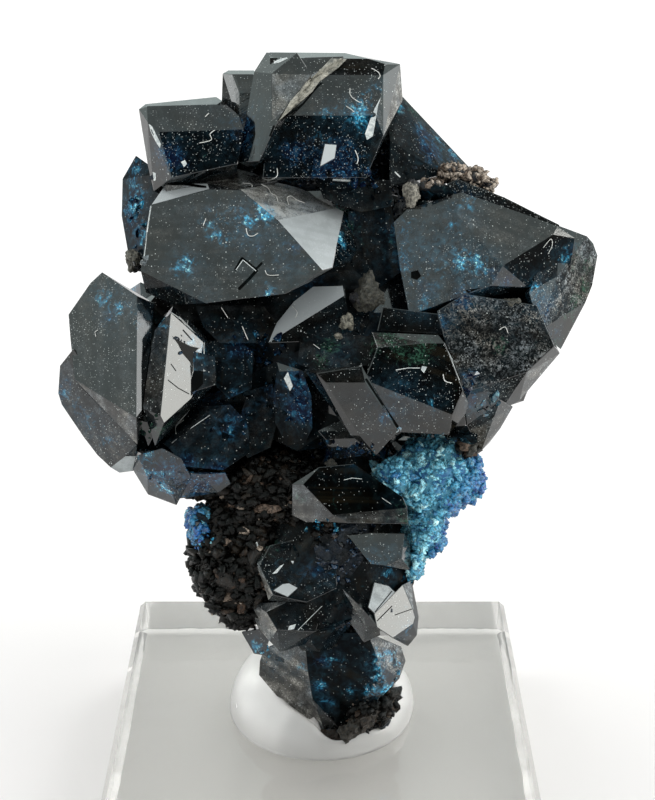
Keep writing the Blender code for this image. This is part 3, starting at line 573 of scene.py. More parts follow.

# Crystals

# Seen on the picture: x, y, radius, then how much blue, turquoise and, if any, green lies inside there. The turquoise
# and green are painted light shining through, with painted glints.
INNER_PATCHES = [
    (377, 90, 8, 0.2, 1.0), (366, 99, 8, 0.3, 0.9), (360, 117, 13, 0.5, 1.0), (363, 129, 8, 0.4, 0.7),
    (328, 112, 11, 0.3, 0.6), (320, 134, 10, 0.4, 0.6), (345, 108, 10, 0.2, 0.5), (300, 152, 26, 0.9, 0.1),
    (342, 163, 30, 1.0, 0.2), (322, 172, 22, 1.0, 0.1), (372, 168, 22, 0.9, 0.2), (372, 118, 12, 0.2, 0.3),
    (170, 158, 18, 1.2, 0.1), (157, 150, 10, 0.8, 0.3), (185, 166, 12, 1.0, 0), (135, 195, 20, 0.8, 0.7),
    (134, 222, 20, 1.0, 0.6), (138, 245, 12, 0.4, 0.4), (266, 212, 15, 0.5, 1.1), (250, 220, 11, 0.5, 1.0),
    (234, 214, 18, 0.6, 0.5), (214, 230, 12, 0.4, 0.8), (204, 222, 12, 0.4, 0.5), (186, 265, 14, 0.3, 0.9),
    (177, 272, 10, 0.2, 0.6), (296, 250, 11, 1.0, 0.3), (270, 292, 9, 0.3, 0.9), (262, 246, 9, 0.8, 0.2),
    (341, 243, 11, 0.6, 1.0), (336, 228, 8, 0.4, 0.8), (350, 215, 10, 0.6, 0.2), (300, 290, 12, 0.5, 0.3),
    (205, 205, 20, 0.4, 0.1), (104, 299, 12, 0.3, 0.8, 0.3), (121, 309, 10, 0.3, 0.9), (96, 292, 8, 0.1, 0.5, 0.3),
    (161, 322, 9, 0.5, 1.1), (166, 330, 7, 0.5, 1.0), (136, 322, 8, 0.1, 0.5, 0.4), (110, 318, 14, 0.7, 0.1),
    (66, 385, 13, 0.9, 0.4), (75, 401, 12, 0.6, 0.7), (90, 425, 11, 0.5, 0.6), (104, 444, 9, 0.4, 0.6),
    (108, 420, 14, 0.2, 0.4), (160, 432, 9, 0.1, 0.3, 1.0), (168, 425, 7, 0, 0.4, 1.0), (410, 226, 7, 0.3, 0.9),
    (452, 226, 8, 0.4, 0.9), (470, 205, 13, 0.4, 0.6), (426, 263, 9, 0.8, 0.5), (463, 262, 15, 0.6, 1.0),
    (480, 266, 13, 0.6, 1.0), (492, 272, 11, 1.1, 0.3), (508, 279, 10, 1.0, 0), (420, 290, 17, 0.9, 0.5),
    (424, 306, 12, 0.7, 0.7), (443, 272, 14, 0.5, 0.5), (564, 256, 10, 0.6, 1.0, 0.2), (535, 288, 12, 0.6, 0.7),
    (545, 312, 16, 1.0, 0.2), (554, 332, 11, 0.9, 0.3), (577, 300, 12, 0.1, 0.2, 1.0), (556, 345, 10, 0.4, 0.3, 0.6),
    (500, 345, 14, 0.1, 0.1, 0.6), (468, 378, 9, 1.2, 0.2), (474, 400, 9, 1.2, 0.3), (443, 322, 12, 0.8, 0.3),
    (441, 180, 10, 0.2, 0.3, 0.3), (421, 358, 11, 0, 0.2, 1.1), (402, 395, 14, 0.5, 0.5), (385, 416, 14, 0.7, 0.3),
    (431, 402, 11, 0.3, 0.6), (332, 345, 15, 0.1, 0.5, 0.9), (322, 362, 10, 0.1, 0.3, 0.8),
    (372, 345, 14, 0, 0.1, 0.8), (294, 376, 14, 1.1, 0.4), (301, 400, 18, 1.1, 0.3), (312, 414, 14, 0.9, 0.3),
    (289, 365, 8, 0.6, 0.8), (244, 347, 13, 1.0, 0.2), (236, 395, 11, 0.8, 0.4), (262, 345, 12, 0.8, 0),
    (270, 400, 16, 0.6, 0), (150, 470, 14, 0.8, 0.6), (164, 487, 16, 0.7, 0.9), (200, 478, 14, 1.0, 0.5),
    (216, 482, 12, 1.0, 0.3), (143, 458, 12, 0.6, 0.5, 0.2), (186, 462, 14, 0.9, 0.2), (318, 526, 13, 0.4, 1.0),
    (341, 526, 12, 1.0, 0.3), (355, 533, 11, 0.9, 0.3), (368, 560, 15, 0.6, 0.4), (388, 572, 12, 0.5, 0.9),
    (355, 452, 18, 0.8, 0), (330, 452, 14, 0.8, 0), (301, 499, 9, 0, 0.2, 0.9), (318, 687, 7, 1.4, 1.1),
    (326, 702, 7, 1.3, 0.9), (335, 662, 9, 0.7, 1.0), (352, 690, 8, 0.5, 0.9), (318, 660, 11, 1.1, 0.1),
    (301, 668, 9, 0.4, 0.8), (382, 655, 14, 0.7, 0.9), (372, 690, 12, 0.6, 0.9), (392, 640, 10, 0.7, 0.7),
    (378, 672, 12, 0.7, 0.8), (260, 668, 8, 0.1, 0.6, 0.3), (430, 150, 24, 1.0, 0.2), (441, 143, 14, 0.5, 0.7, 0.3),
    (414, 112, 12, 0.1, 0.4, 0.8), (452, 160, 10, 0.9, 0.3), (407, 630, 12, 0.7, 0.6), (203, 515, 12, 0.5, 0.4),
    (256, 647, 8, 0.2, 1.2, 0.2), (575, 258, 12, 0, 0, 0.7), (588, 264, 12, 0, 0, 0.8), (584, 288, 12, 0, 0, 0.9),
    (570, 315, 13, 0.3, 0, 0.8), (560, 338, 12, 0.4, 0, 0.5), (390, 338, 20, 0, 0.1, 0.8), (425, 343, 15, 0, 0, 0.7),
    (400, 352, 16, 0, 0, 0.6), (252, 228, 26, 0.5, 0.3), (228, 240, 22, 0.2, 0.3), (280, 262, 24, 0.4, 0.15),
    (430, 280, 26, 0.5, 0.4), (412, 250, 18, 0.3, 0.3), (450, 240, 20, 0.2, 0.3), (540, 300, 18, 0.6, 0.3, 0.1),
    (520, 320, 18, 0.2, 0.2, 0.1), (165, 478, 24, 1.4, 0.6), (197, 484, 20, 1.5, 0.4), (216, 476, 16, 1.4, 0.3),
    (147, 455, 12, 0.6, 0.8, 0.2), (135, 170, 16, 1.0, 0.7), (132, 208, 20, 1.1, 0.8), (140, 235, 16, 1.0, 0.8),
    (400, 107, 14, 0.2, 0.7, 0.4), (425, 135, 18, 1.0, 0.4), (452, 152, 14, 0.8, 0.6, 0.2), (62, 392, 14, 1.0, 0.6),
    (72, 420, 14, 0.9, 0.6), (300, 385, 14, 1.3, 0.5), (296, 410, 16, 1.2, 0.4), (240, 350, 18, 1.1, 0.4),
    (215, 395, 20, 0.9, 0.4), (228, 428, 16, 0.9, 0.5), (392, 655, 14, 0.8, 0.8), (388, 690, 14, 0.6, 0.9),
    (402, 645, 10, 0.6, 0.8), (120, 300, 22, 0.3, 0.4), (130, 330, 22, 0.3, 0.2), (80, 410, 20, 0.6, 0.3),
    (110, 440, 16, 0.5, 0.3),
]

# Seen on the picture: x, y, radius and amount of a soft blue haze inside
HAZES = [
    (430, 250, 36, 0.9), (470, 275, 36, 0.9), (425, 295, 25, 1.0), (250, 225, 34, 0.8), (290, 260, 24, 0.6),
    (120, 305, 26, 0.7), (150, 320, 16, 0.6), (60, 395, 18, 0.8), (85, 430, 20, 0.7), (160, 475, 30, 1.0),
    (200, 482, 22, 1.0), (545, 300, 28, 0.8), (135, 200, 24, 0.9), (136, 240, 18, 0.9), (385, 665, 24, 1.0),
    (300, 395, 26, 0.7), (240, 350, 26, 0.5), (355, 120, 26, 0.5), (430, 140, 26, 0.6), (170, 155, 20, 0.5),
    (395, 400, 26, 0.6), (335, 352, 20, 0.5), (340, 528, 26, 0.8), (385, 560, 20, 0.7), (460, 215, 22, 0.6),
    (480, 400, 20, 0.8), (300, 205, 20, 0.4), (205, 300, 20, 0.3), (445, 320, 16, 0.6), (275, 660, 22, 0.6),
]

# The finish that mirrors hardly anything is painted shade, for faces in hollows and other dark places.
PLAIN, PAINTED_SHADE = 0, 1  # a face's finish: it mirrors the studio, or hardly anything

# Seen on the picture: x, y, then that face's film, which is partly painted sheen, dust and etching, and its finish,
# where the one that mirrors hardly anything is painted shade
FACE_FINISHES = [
    (364, 413, 0.01, 0.15, 0.15, PLAIN), (340, 96, 0.015, 0.2, 0.1, PLAIN), (192, 118, 0.015, 0.2, 0.1, PLAIN),
    (223, 248, 0.018, 0.13, 0.15, PLAIN), (493, 338, 0.06, 0.15, 1.0, PAINTED_SHADE), (441, 258, 0.016, 0.17, 0.15, PLAIN),
    (106, 341, 0.02, 0.3, 0.15, PLAIN), (321, 147, 0.0, 0.22, 0.0, PLAIN), (418, 374, 0.0, 0.16, 0.0, PLAIN),
    (342, 675, 0.0, 0.04, 0.0, PAINTED_SHADE), (502, 228, 0.028, 0.2, 0.3, PLAIN), (92, 418, 0.045, 0.2, 0.3, PLAIN),
    (200, 149, 0.0, 0.22, 0.0, PLAIN), (179, 367, 0.0, 0.05, 0.0, PLAIN), (316, 234, 0.9, 0.08, 0.0, PLAIN),
    (286, 200, 0.5, 0.5, 0.2, PLAIN), (541, 258, 0.0, 0.2, 0.0, PAINTED_SHADE), (307, 307, 1.0, 0.15, 0.0, PLAIN),
    (285, 90, 0.12, 0.3, 0.0, PLAIN), (573, 287, 0.1, 0.25, 0.9, PAINTED_SHADE), (561, 281, 0.08, 0.25, 0.9, PAINTED_SHADE),
    (584, 254, 0.12, 0.2, 0.8, PAINTED_SHADE), (573, 305, 0.1, 0.2, 0.9, PAINTED_SHADE), (545, 276, 0.02, 0.3, 0.3, PAINTED_SHADE),
    (308, 506, 0.09, 0.1, 0.0, PLAIN), (492, 199, 0.005, 0.5, 0.3, PAINTED_SHADE), (353, 67, 0.01, 0.15, 0.2, PAINTED_SHADE),
    (115, 414, 0.1, 0.2, 0.0, PLAIN), (305, 710, 0.13, 0.12, 0.2, PLAIN), (291, 655, 0.13, 0.12, 0.2, PLAIN),
    (285, 669, 0.13, 0.12, 0.2, PLAIN), (302, 680, 0.13, 0.12, 0.2, PLAIN), (277, 678, 0.13, 0.12, 0.2, PLAIN),
    (283, 691, 0.13, 0.12, 0.2, PLAIN), (268, 659, 0.13, 0.12, 0.2, PLAIN), (179, 192, 1.0, 0.7, 0.6, PLAIN),
    (242, 179, 0.25, 0.7, 0.6, PLAIN), (395, 99, 0.25, 0.1, 0.0, PLAIN), (388, 92, 0.0, 0.1, 0.0, PLAIN),
    (379, 596, 0.7, 0.1, 0.0, PLAIN), (286, 589, 1.0, 0.3, 0.6, PLAIN), (328, 153, 1.0, 0.0, 0.0, PLAIN),
    (125, 464, 0.8, 0.1, 0.0, PLAIN), (264, 623, 0.2, 0.1, 0.0, PLAIN), (264, 605, 0.1, 0.1, 0.0, PLAIN),
    (265, 583, 0.4, 0.1, 0.0, PLAIN), (542, 295, 0.05, 0.4, 0.4, PLAIN), (203, 371, 0.05, 0.1, 0.0, PAINTED_SHADE),
    (390, 665, 0.15, 0.1, 0.6, PLAIN), (398, 650, 0.15, 0.1, 0.5, PLAIN), (385, 642, 0.12, 0.1, 0.4, PLAIN),
    (233, 186, 0.2, 0.4, 0.2, PLAIN), (246, 165, 0.0, 0.1, 0.0, PLAIN), (391, 340, 0.06, 0.2, 0.2, PAINTED_SHADE),
    (356, 608, 0.2, 0.1, 0.0, PLAIN), (535, 375, 0.1, 0.2, 0.3, PLAIN), (408, 591, 0.2, 0.0, 0.0, PLAIN),
    (326, 68, 0.5, 0.1, 0.0, PLAIN), (176, 187, 0.2, 0.6, 0.4, PLAIN), (376, 516, 0.06, 0.1, 0.0, PAINTED_SHADE),
    (189, 102, 0.05, 0.1, 0.0, PLAIN), (229, 103, 0.02, 0.2, 0.0, PAINTED_SHADE), (345, 242, 0.0, 0.15, 0.0, PAINTED_SHADE),
    (413, 413, 0.012, 0.15, 0.0, PLAIN), (380, 547, 0.01, 0.15, 0.0, PLAIN), (157, 368, 0.03, 0.15, 0.0, PAINTED_SHADE),
    (407, 166, 0.01, 0.2, 0.0, PAINTED_SHADE), (501, 387, 0.03, 0.3, 0.5, PAINTED_SHADE), (351, 490, 0.0, 0.06, 0.0, PAINTED_SHADE),
    (257, 118, 0.0, 0.1, 0.0, PLAIN), (541, 258, 0.0, 0.1, 0.0, PAINTED_SHADE), (482, 425, 0.05, 0.2, 0.2, PAINTED_SHADE),
    (498, 419, 0.05, 0.2, 0.2, PLAIN), (232, 366, 0.0, 0.12, 0.0, PAINTED_SHADE),
]

# Crystals in the hollows, where little light is mirrored: they take the finish that mirrors hardly anything, as
# painted shade, and less dust
PAINTED_SHADE_CRYSTALS = [
    (411, 137), (140, 213), (375, 245), (232, 366), (358, 193), (346, 345), (359, 322), (289, 419), (346, 288),
    (306, 562), (373, 573), (339, 610), (320, 638), (314, 444), (222, 401), (202, 305), (259, 302), (373, 327),
    (292, 361), (360, 463), (410, 575), (265, 400), (214, 440), (184, 428), (260, 418), (235, 322),
]


LINE_START = 50.0  # how far apart the growth lines of two crystals may start


def build_crystals():
    """All large crystals in one mesh, and the layer that says which crystal a face is of."""
    joined = bmesh.new()
    owner_layer = joined.faces.layers.int.new("owner")
    rng = random.Random(5)
    for index, grown in enumerate(growths):
        bm = crystal_mesh(grown, rng.uniform(0.025, 0.05))
        divide(bm)
        brought = join_in(joined, bm)[1]
        joined.faces.ensure_lookup_table()
        for face in joined.faces[-brought:]:
            face[owner_layer] = index
    joined.normal_update()
    joined.verts.ensure_lookup_table()
    joined.faces.ensure_lookup_table()
    return joined, owner_layer


joined, owner_layer = build_crystals()
crystal_tree = BVHTree.FromBMesh(joined)
places = np.array([v.co for v in joined.verts])
face_normals = np.array([f.normal for f in joined.faces])
face_middles = np.array([f.calc_center_median() for f in joined.faces])
face_offsets = np.einsum("ij,ij->i", face_normals, face_middles)
face_owner = np.array([f[owner_layer] for f in joined.faces])


def seen_place(x, y):
    """Point, normal, face and distance of the crystal that is seen at a place on the picture."""
    return crystal_tree.ray_cast(EYE, sight(x, y))


def soft_spot(middle, radius):
    """How much each point lies in a round, ragged spot."""
    away = np.linalg.norm(places - np.array(middle), axis=1) / radius
    return np.clip(1.3 - away, 0.0, 1.0)


TURNED_AWAY = 0.15  # a normal's part along the view, from which a face counts as one that isn't seen
HIDDEN_PATCHES = 110


def inner_values():
    """Blue, turquoise, green and haze inside, for each point: as seen in front, at random behind."""
    blue, turquoise, green, haze = np.zeros((4, len(places)))

    def add_patch(middle, radius, amounts):
        spot = soft_spot(middle, radius)
        veil = amounts[1] * 0.45 + amounts[0] * 0.2
        np.maximum(haze, soft_spot(middle, radius * 1.7) * veil, out=haze)
        for values, amount in zip((blue, turquoise, green), amounts):
            np.maximum(values, spot * amount, out=values)

    for x, y, reach, *amounts in INNER_PATCHES:
        hit = seen_place(x, y)
        if hit[0] is not None:
            add_patch(hit[0], reach * TO_PLANE / PICTURE_FOCUS * 0.95, amounts)
    for x, y, reach, amount in HAZES:
        hit = seen_place(x, y)
        if hit[0] is not None:
            np.maximum(haze, soft_spot(hit[0], reach * TO_PLANE / PICTURE_FOCUS) * amount, out=haze)
    rng = random.Random(11)
    hidden = np.flatnonzero(face_normals @ np.array(AHEAD) > TURNED_AWAY)
    for _ in range(HIDDEN_PATCHES):
        middle = face_middles[rng.choice(hidden)]
        pick = rng.random()
        amounts = (rng.uniform(0.5, 1.1), rng.uniform(0.0, 1.0) if pick > 0.5 else 0.1, 0.8 if pick < 0.1 else 0.0)
        add_patch(middle, rng.uniform(0.5, 1.5), amounts)
    return blue, turquoise, green, np.clip(haze, 0.0, 1.0)


def same_facet(index):
    """Which cells lie on the same flat face of the same crystal."""
    near = np.abs(face_offsets - face_offsets[index]) < 0.012
    alike = face_normals @ face_normals[index] > 0.9998
    return near & alike & (face_owner == face_owner[index])


def face_values():
    """Film, which is partly painted sheen, dust and etching for every face, and its finish, which is painted shade
    for crystals in hollows.
    """
    count = len(face_normals)
    up = np.clip(face_normals[:, 2], 0.0, 1.0)
    film_and_sheen = 0.004 + 0.012 * up
    dust = 0.08 + 0.1 * up
    etched = np.full(count, 0.08)
    finish = np.full(count, PLAIN)
    # Painted shade: crystals in hollows mirror hardly anything and show less dust.
    for x, y in PAINTED_SHADE_CRYSTALS:
        hit = seen_place(x, y)
        if hit[2] is not None:
            finish[face_owner == face_owner[hit[2]]] = PAINTED_SHADE
            dust[face_owner == face_owner[hit[2]]] *= 0.6
    for x, y, *values in FACE_FINISHES:
        hit = seen_place(x, y)
        if hit[2] is not None:
            mine = same_facet(hit[2])
            film_and_sheen[mine], dust[mine], etched[mine], finish[mine] = values
    return film_and_sheen, dust, etched, finish


def line_values():
    """For each point, its place across its crystal's growth lines, which run along the longest edge."""
    rng = random.Random(3)
    lines = np.zeros(len(places))
    point_owner = np.zeros(len(places), int)
    for face in joined.faces:
        for v in face.verts:
            point_owner[v.index] = face[owner_layer]
    for index, grown in enumerate(growths):
        edge = max((e for f in grown.faces for e in f.edges), key=lambda e: e.calc_length())
        along = (edge.verts[1].co - edge.verts[0].co).normalized()
        way = along.cross(Vector(grown.normals[0])).normalized()
        mine = point_owner == index
        lines[mine] = places[mine] @ np.array(way) + rng.uniform(0, LINE_START)
    return lines


inside = inner_values()
film_and_sheen, dust, etched, finish = face_values()
lines = line_values()
for face, kind in zip(joined.faces, finish):
    face.material_index = int(kind)
crystals = mesh_piece("lazulite_crystals", joined)
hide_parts("lazulite_specimen")
set_crystal_values(crystals.data, (*inside, lines), (film_and_sheen, dust, etched))
dark_crystal = crystal_material("dark_crystal", 0.5, 0.045)
# Painted shade: the crystal with a finish that mirrors hardly anything.
painted_shade_crystal = crystal_material("painted_shade_crystal", 0.03, 0.1)
for material in (dark_crystal, painted_shade_crystal):
    crystals.data.materials.append(material)

# Rock and crust

# Rounded masses of the stone by the eye's right, up and forward: middle, size, kind
BROWN, CRUST, PALE, BLUE_EDGE, TAN, SHADE = 0, 1, 2, 3, 4, 5
MASSES = [
    ((-4.45, -8.55, -0.6), (3.4, 4.05, 3.2), BROWN), ((-3.2, -5.2, 1.0), (3.0, 2.1, 2.6), BROWN),
    ((2.3, -17.3, -4.9), (1.6, 1.8, 1.9), BROWN), ((0.6, -18.95, -4.4), (1.05, 0.62, 0.9), BROWN),
    ((7.1, 13.05, 2.2), (0.75, 0.5, 0.9), TAN), ((8.3, 12.75, 1.8), (0.8, 0.5, 0.9), TAN),
    ((9.15, 12.3, 1.4), (0.5, 0.4, 0.8), TAN), ((5.9, 12.2, 2.6), (0.8, 0.4, 0.9), TAN),
    ((4.85, 12.0, 3.0), (0.5, 0.75, 0.9), PALE), ((2.1, 5.75, 3.2), (0.9, 0.5, 1.4), PALE),
    ((1.1, 4.4, 2.9), (0.42, 0.5, 1.6), PALE), ((-11.1, 7.9, 1.7), (0.5, 0.6, 0.7), PALE),
    ((-7.25, -7.2, 0.7), (0.75, 1.3, 1.3), BLUE_EDGE), ((6.0, -4.5, 1.2), (2.3, 2.3, 2.6), CRUST),
    ((3.9, -4.35, 2.9), (1.1, 1.0, 1.3), CRUST), ((7.7, -4.4, 0.6), (1.25, 1.5, 1.8), CRUST),
    ((5.6, -7.3, 1.0), (1.15, 1.6, 1.9), CRUST), ((5.0, -9.2, 0.8), (0.5, 1.1, 1.4), CRUST),
    ((7.9, -2.6, 2.6), (0.75, 0.5, 0.7), BROWN), ((0.3, -14.3, -6.6), (2.7, 2.7, 3.6), BROWN),
]


def mass_kind(p):
    """Which kind of rock lies at a point, by the mass that it is nearest to the middle of."""
    ray = p - EYE
    eye_point = Vector((ray.dot(RIGHT), ray.dot(ABOVE), TO_PLANE - ray.dot(AHEAD)))
    best, kind = 1.45, SHADE
    for middle, size, of_kind in MASSES:
        d = Vector([(eye_point[i] - middle[i]) / size[i] for i in range(3)]).length
        if d < best:
            best, kind = d, of_kind
    return kind


def build_rock_body():
    """The stone's own surface, with its rounded parts made rough."""
    bm = flat_stone.copy()
    mark = bm.faces.layers.int.new("rocky")
    bm.faces.ensure_lookup_table()
    for face in rock_faces:
        bm.faces[face.index][mark] = 1
    bmesh.ops.triangulate(bm, faces=bm.faces[:])
    edges = [e for e in bm.edges if e.calc_length() > 0.3 and any(f[mark] for f in e.link_faces)]
    bmesh.ops.subdivide_edges(bm, edges=edges, cuts=2, use_grid_fill=True)
    edges = [e for e in bm.edges if e.calc_length() > 0.45 and any(f[mark] for f in e.link_faces)]
    bmesh.ops.subdivide_edges(bm, edges=edges, cuts=1, use_grid_fill=True)
    bm.normal_update()
    for v in bm.verts:
        if v.link_faces and all(f[mark] for f in v.link_faces):
            deep = 1.0 if mass_kind(v.co) in (BROWN, SHADE) else 0.2
            height = (noise.fractal(v.co * 0.9, 1.0, 2.0, 5) * 0.42 - 0.16) * deep + noise.noise(v.co * 3.1) * 0.08
            v.co += v.normal * max(-0.5, min(0.16, height))
    bmesh.ops.triangulate(bm, faces=bm.faces[:])
    return bm


rock_body = build_rock_body()
rock_kinds = [mass_kind(v.co) for v in rock_body.verts]
rock_piece = mesh_piece("brown_rock", rock_body)
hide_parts("lazulite_specimen")
set_values(rock_piece.data, "crust", [1.0 if k == CRUST else 0.0 for k in rock_kinds])
set_values(rock_piece.data, "brown", [1.0 if k == BROWN else 0.0 for k in rock_kinds])
set_values(rock_piece.data, "pale", [0.12 if k in (PALE, TAN) else 0.0 for k in rock_kinds])


def any_way(rng):
    """A random direction."""
    return Vector((rng.gauss(0, 1), rng.gauss(0, 1), rng.gauss(0, 1))).normalized()


GRAIN_SHAPES, GRAIN_CORNERS, GRAIN_STRETCH = 14, 9, (1.0, 0.8, 0.7)


def grain_shapes():
    """A few small blocky shapes, each as points and triangles."""
    rng = random.Random(8)
    shapes = []
    for _ in range(GRAIN_SHAPES):
        bm = hull([any_way(rng) * Vector(GRAIN_STRETCH) for _ in range(GRAIN_CORNERS)])
        bmesh.ops.triangulate(bm, faces=bm.faces[:])
        bm.verts.index_update()
        shapes.append((
            np.array([v.co for v in bm.verts]),
            np.array([[v.index for v in f.verts] for f in bm.faces]),
        ))
        bm.free()
    return shapes


def turned(rng):
    """A random turn as a matrix."""
    axis = any_way(rng)
    return np.array(Matrix.Rotation(rng.uniform(0, math.tau), 3, axis))


MANY_SMALL = 2.2  # the higher, the more of the grains are small


def scatter_grains(name, kinds, smallest, largest, per_area, sink, seed, shade_of):
    """Grains set into the rock's faces of these kinds, as one piece."""
    rng = random.Random(seed)
    all_points, all_faces, all_shades = [], [], []
    base = 0
    for (a, b, c), normal, kind in rocky:
        if kind not in kinds:
            continue
        area = (b - a).cross(c - a).length / 2.0
        expected = area * per_area
        number = int(expected) + (1 if rng.random() < expected - int(expected) else 0)
        for _ in range(number):
            s, t = rng.random(), rng.random()
            if s + t > 1.0:
                s, t = 1.0 - s, 1.0 - t
            middle = a + (b - a) * s + (c - a) * t
            size = smallest + (largest - smallest) * rng.random() ** MANY_SMALL
            points, faces = blocky[rng.randrange(len(blocky))]
            spin = turned(rng)
            placed = points @ spin.T * size + np.array(middle + normal * size * sink)
            all_points.append(placed)
            all_faces.append(faces + base)
            base += len(points)
            all_shades.append(np.full(len(points), shade_of(kind, middle, rng)))
    points = np.vstack(all_points)
    faces = np.vstack(all_faces)
    mesh = bpy.data.meshes.new(name)
    mesh.vertices.add(len(points))
    mesh.vertices.foreach_set("co", (points * MM).astype(np.float32).ravel())
    mesh.loops.add(len(faces) * 3)
    mesh.loops.foreach_set("vertex_index", faces.astype(np.int32).ravel())
    mesh.polygons.add(len(faces))
    mesh.polygons.foreach_set("loop_start", np.arange(0, len(faces) * 3, 3, dtype=np.int32))
    mesh.update(calc_edges=True)
    mesh.validate()
    set_values(mesh, "shade", np.concatenate(all_shades))
    return ride_on_body(name, mesh)


def rocky_triangles():
    """The stone's rounded faces as triangles with their normal and kind."""
    found = []
    for face in rock_faces:
        corners = [v.co.copy() for v in face.verts]
        kind = mass_kind(face.calc_center_median())
        for i in range(1, len(corners) - 1):
            found.append(((corners[0], corners[i], corners[i + 1]), face.normal.copy(), kind))
    return found


def crust_shade(kind, middle, rng):
    """Turquoise inside, deeper blue towards the crust's outer edge."""
    x, y = on_picture(middle)
    outer = min(1.0, max(0.0, (x + 0.4 * (y - 500.0) - 440.0) / 32.0))
    patchy = noise.noise(middle * 0.9) * 0.3
    at_left = 0.35 if kind == BLUE_EDGE else 0.0
    return max(0.0, min(1.0, rng.gauss(0.74, 0.15) + patchy - outer * 0.55 - at_left))


def rock_shade(kind, middle, rng):
    return rng.uniform(0.72, 0.86) if kind == TAN else rng.random() ** 2.6 * 0.81


def any_shade(kind, middle, rng):
    return rng.random()


# Name, kinds of rock, smallest and largest, how many a square millimetre, how far out, seed, shade
GRAINS = [
    ("rock_grains", (BROWN,), 0.07, 0.62, 16.0, -0.05, 21, rock_shade),
    ("pale_grains", (TAN,), 0.06, 0.36, 26.0, 0.1, 24, rock_shade),
    ("crust_grains", (CRUST, BLUE_EDGE), 0.08, 0.5, 20.0, -0.12, 22, crust_shade),
    ("dark_grains", (SHADE,), 0.08, 0.3, 9.0, 0.05, 23, any_shade),
]
rocky = rocky_triangles()
blocky = grain_shapes()
brown_grains, pale_grains, crust_grains, shade_grains = [scatter_grains(*row) for row in GRAINS]


def rock_material():
    """The rock under the grains: dark blue, brown, crust or pale, by its kind."""
    made, tree, shader = new_material("granular_rock", IOR=1.5)
    place = place_mm(tree)
    cloud = noise_node(tree, place, 1.2, 5.0, 0.65).outputs["Fac"]
    grain = noise_node(tree, place, 6.0, 4.0, 0.6).outputs["Fac"]
    dark_blue = blend_colours(tree, between(tree, cloud, 0.35, 0.7), (0.0015, 0.003, 0.005), (0.003, 0.012, 0.026))
    brown = blend_colours(tree, between(tree, grain, 0.35, 0.7), (0.002, 0.0018, 0.0015), (0.02, 0.013, 0.009))
    crust = blend_colours(tree, between(tree, cloud, 0.35, 0.65), (0.014, 0.1, 0.28), (0.1, 0.36, 0.48))
    pale = blend_colours(tree, between(tree, grain, 0.35, 0.7), (0.12, 0.09, 0.065), (0.42, 0.36, 0.3))
    colour = blend_colours(tree, attribute(tree, "brown"), dark_blue, brown)
    colour = blend_colours(tree, attribute(tree, "crust"), colour, crust)
    colour = blend_colours(tree, attribute(tree, "pale"), colour, pale)
    tree.links.new(colour, shader.inputs["Base Color"])
    tree.links.new(between(tree, grain, 0.3, 0.7, 0.35, 0.75), shader.inputs["Roughness"])
    tree.links.new(bumped(tree, grain, 0.6, 0.3), shader.inputs["Normal"])
    return made


def grain_material(name, stops, rough_low, rough_high, **sockets):
    """Grains whose colour runs through the stops by each grain's shade."""
    made, tree, shader = new_material(name, **sockets)
    ramp = put(tree, "ShaderNodeValToRGB", {0: attribute(tree, "shade")})
    held = ramp.color_ramp.elements
    for element, (position, colour) in zip(held, (stops[0], stops[-1])):
        element.position, element.color = position, (*colour, 1.0)
    for position, colour in stops[1:-1]:
        held.new(position).color = (*colour, 1.0)
    place = place_mm(tree)
    mottle = noise_node(tree, place, 7.0, 4.0, 0.6).outputs["Fac"]
    varied = put(tree, "ShaderNodeHueSaturation", {
        "Color": ramp.outputs["Color"], "Value": between(tree, mottle, 0.36, 0.64, 0.4, 1.7),
    })
    tree.links.new(varied.outputs["Color"], shader.inputs["Base Color"])
    tree.links.new(bumped(tree, mottle, 0.5, 0.1), shader.inputs["Normal"])
    tree.links.new(between(tree, mottle, 0.3, 0.7, rough_low, rough_high), shader.inputs["Roughness"])
    return made


rock_piece.data.materials.append(rock_material())
brown_grains.data.materials.append(grain_material("rock_grain", [
    (0.0, (0.0012, 0.0012, 0.001)), (0.4, (0.004, 0.0034, 0.0026)), (0.6, (0.014, 0.0105, 0.0075)),
    (0.7, (0.045, 0.028, 0.019)), (0.76, (0.13, 0.1, 0.078)), (0.8, (0.32, 0.27, 0.22)), (1.0, (0.5, 0.46, 0.4)),
], 0.1, 0.5, IOR=1.55, Specular_IOR_Level=0.16))
pale_grains.data.materials.append(brown_grains.data.materials[0])
crust_grains.data.materials.append(grain_material("crust_grain", [
    (0.0, (0.008, 0.045, 0.26)), (0.3, (0.02, 0.14, 0.33)), (0.6, (0.06, 0.28, 0.42)), (0.85, (0.15, 0.45, 0.56)),
    (1.0, (0.45, 0.8, 0.86)),
], 0.12, 0.4, IOR=1.62))
shade_grains.data.materials.append(grain_material("dark_grain", [
    (0.0, (0.0015, 0.002, 0.003)), (0.5, (0.003, 0.008, 0.02)), (0.85, (0.006, 0.035, 0.08)),
    (1.0, (0.03, 0.02, 0.014)),
], 0.06, 0.25, IOR=1.62))
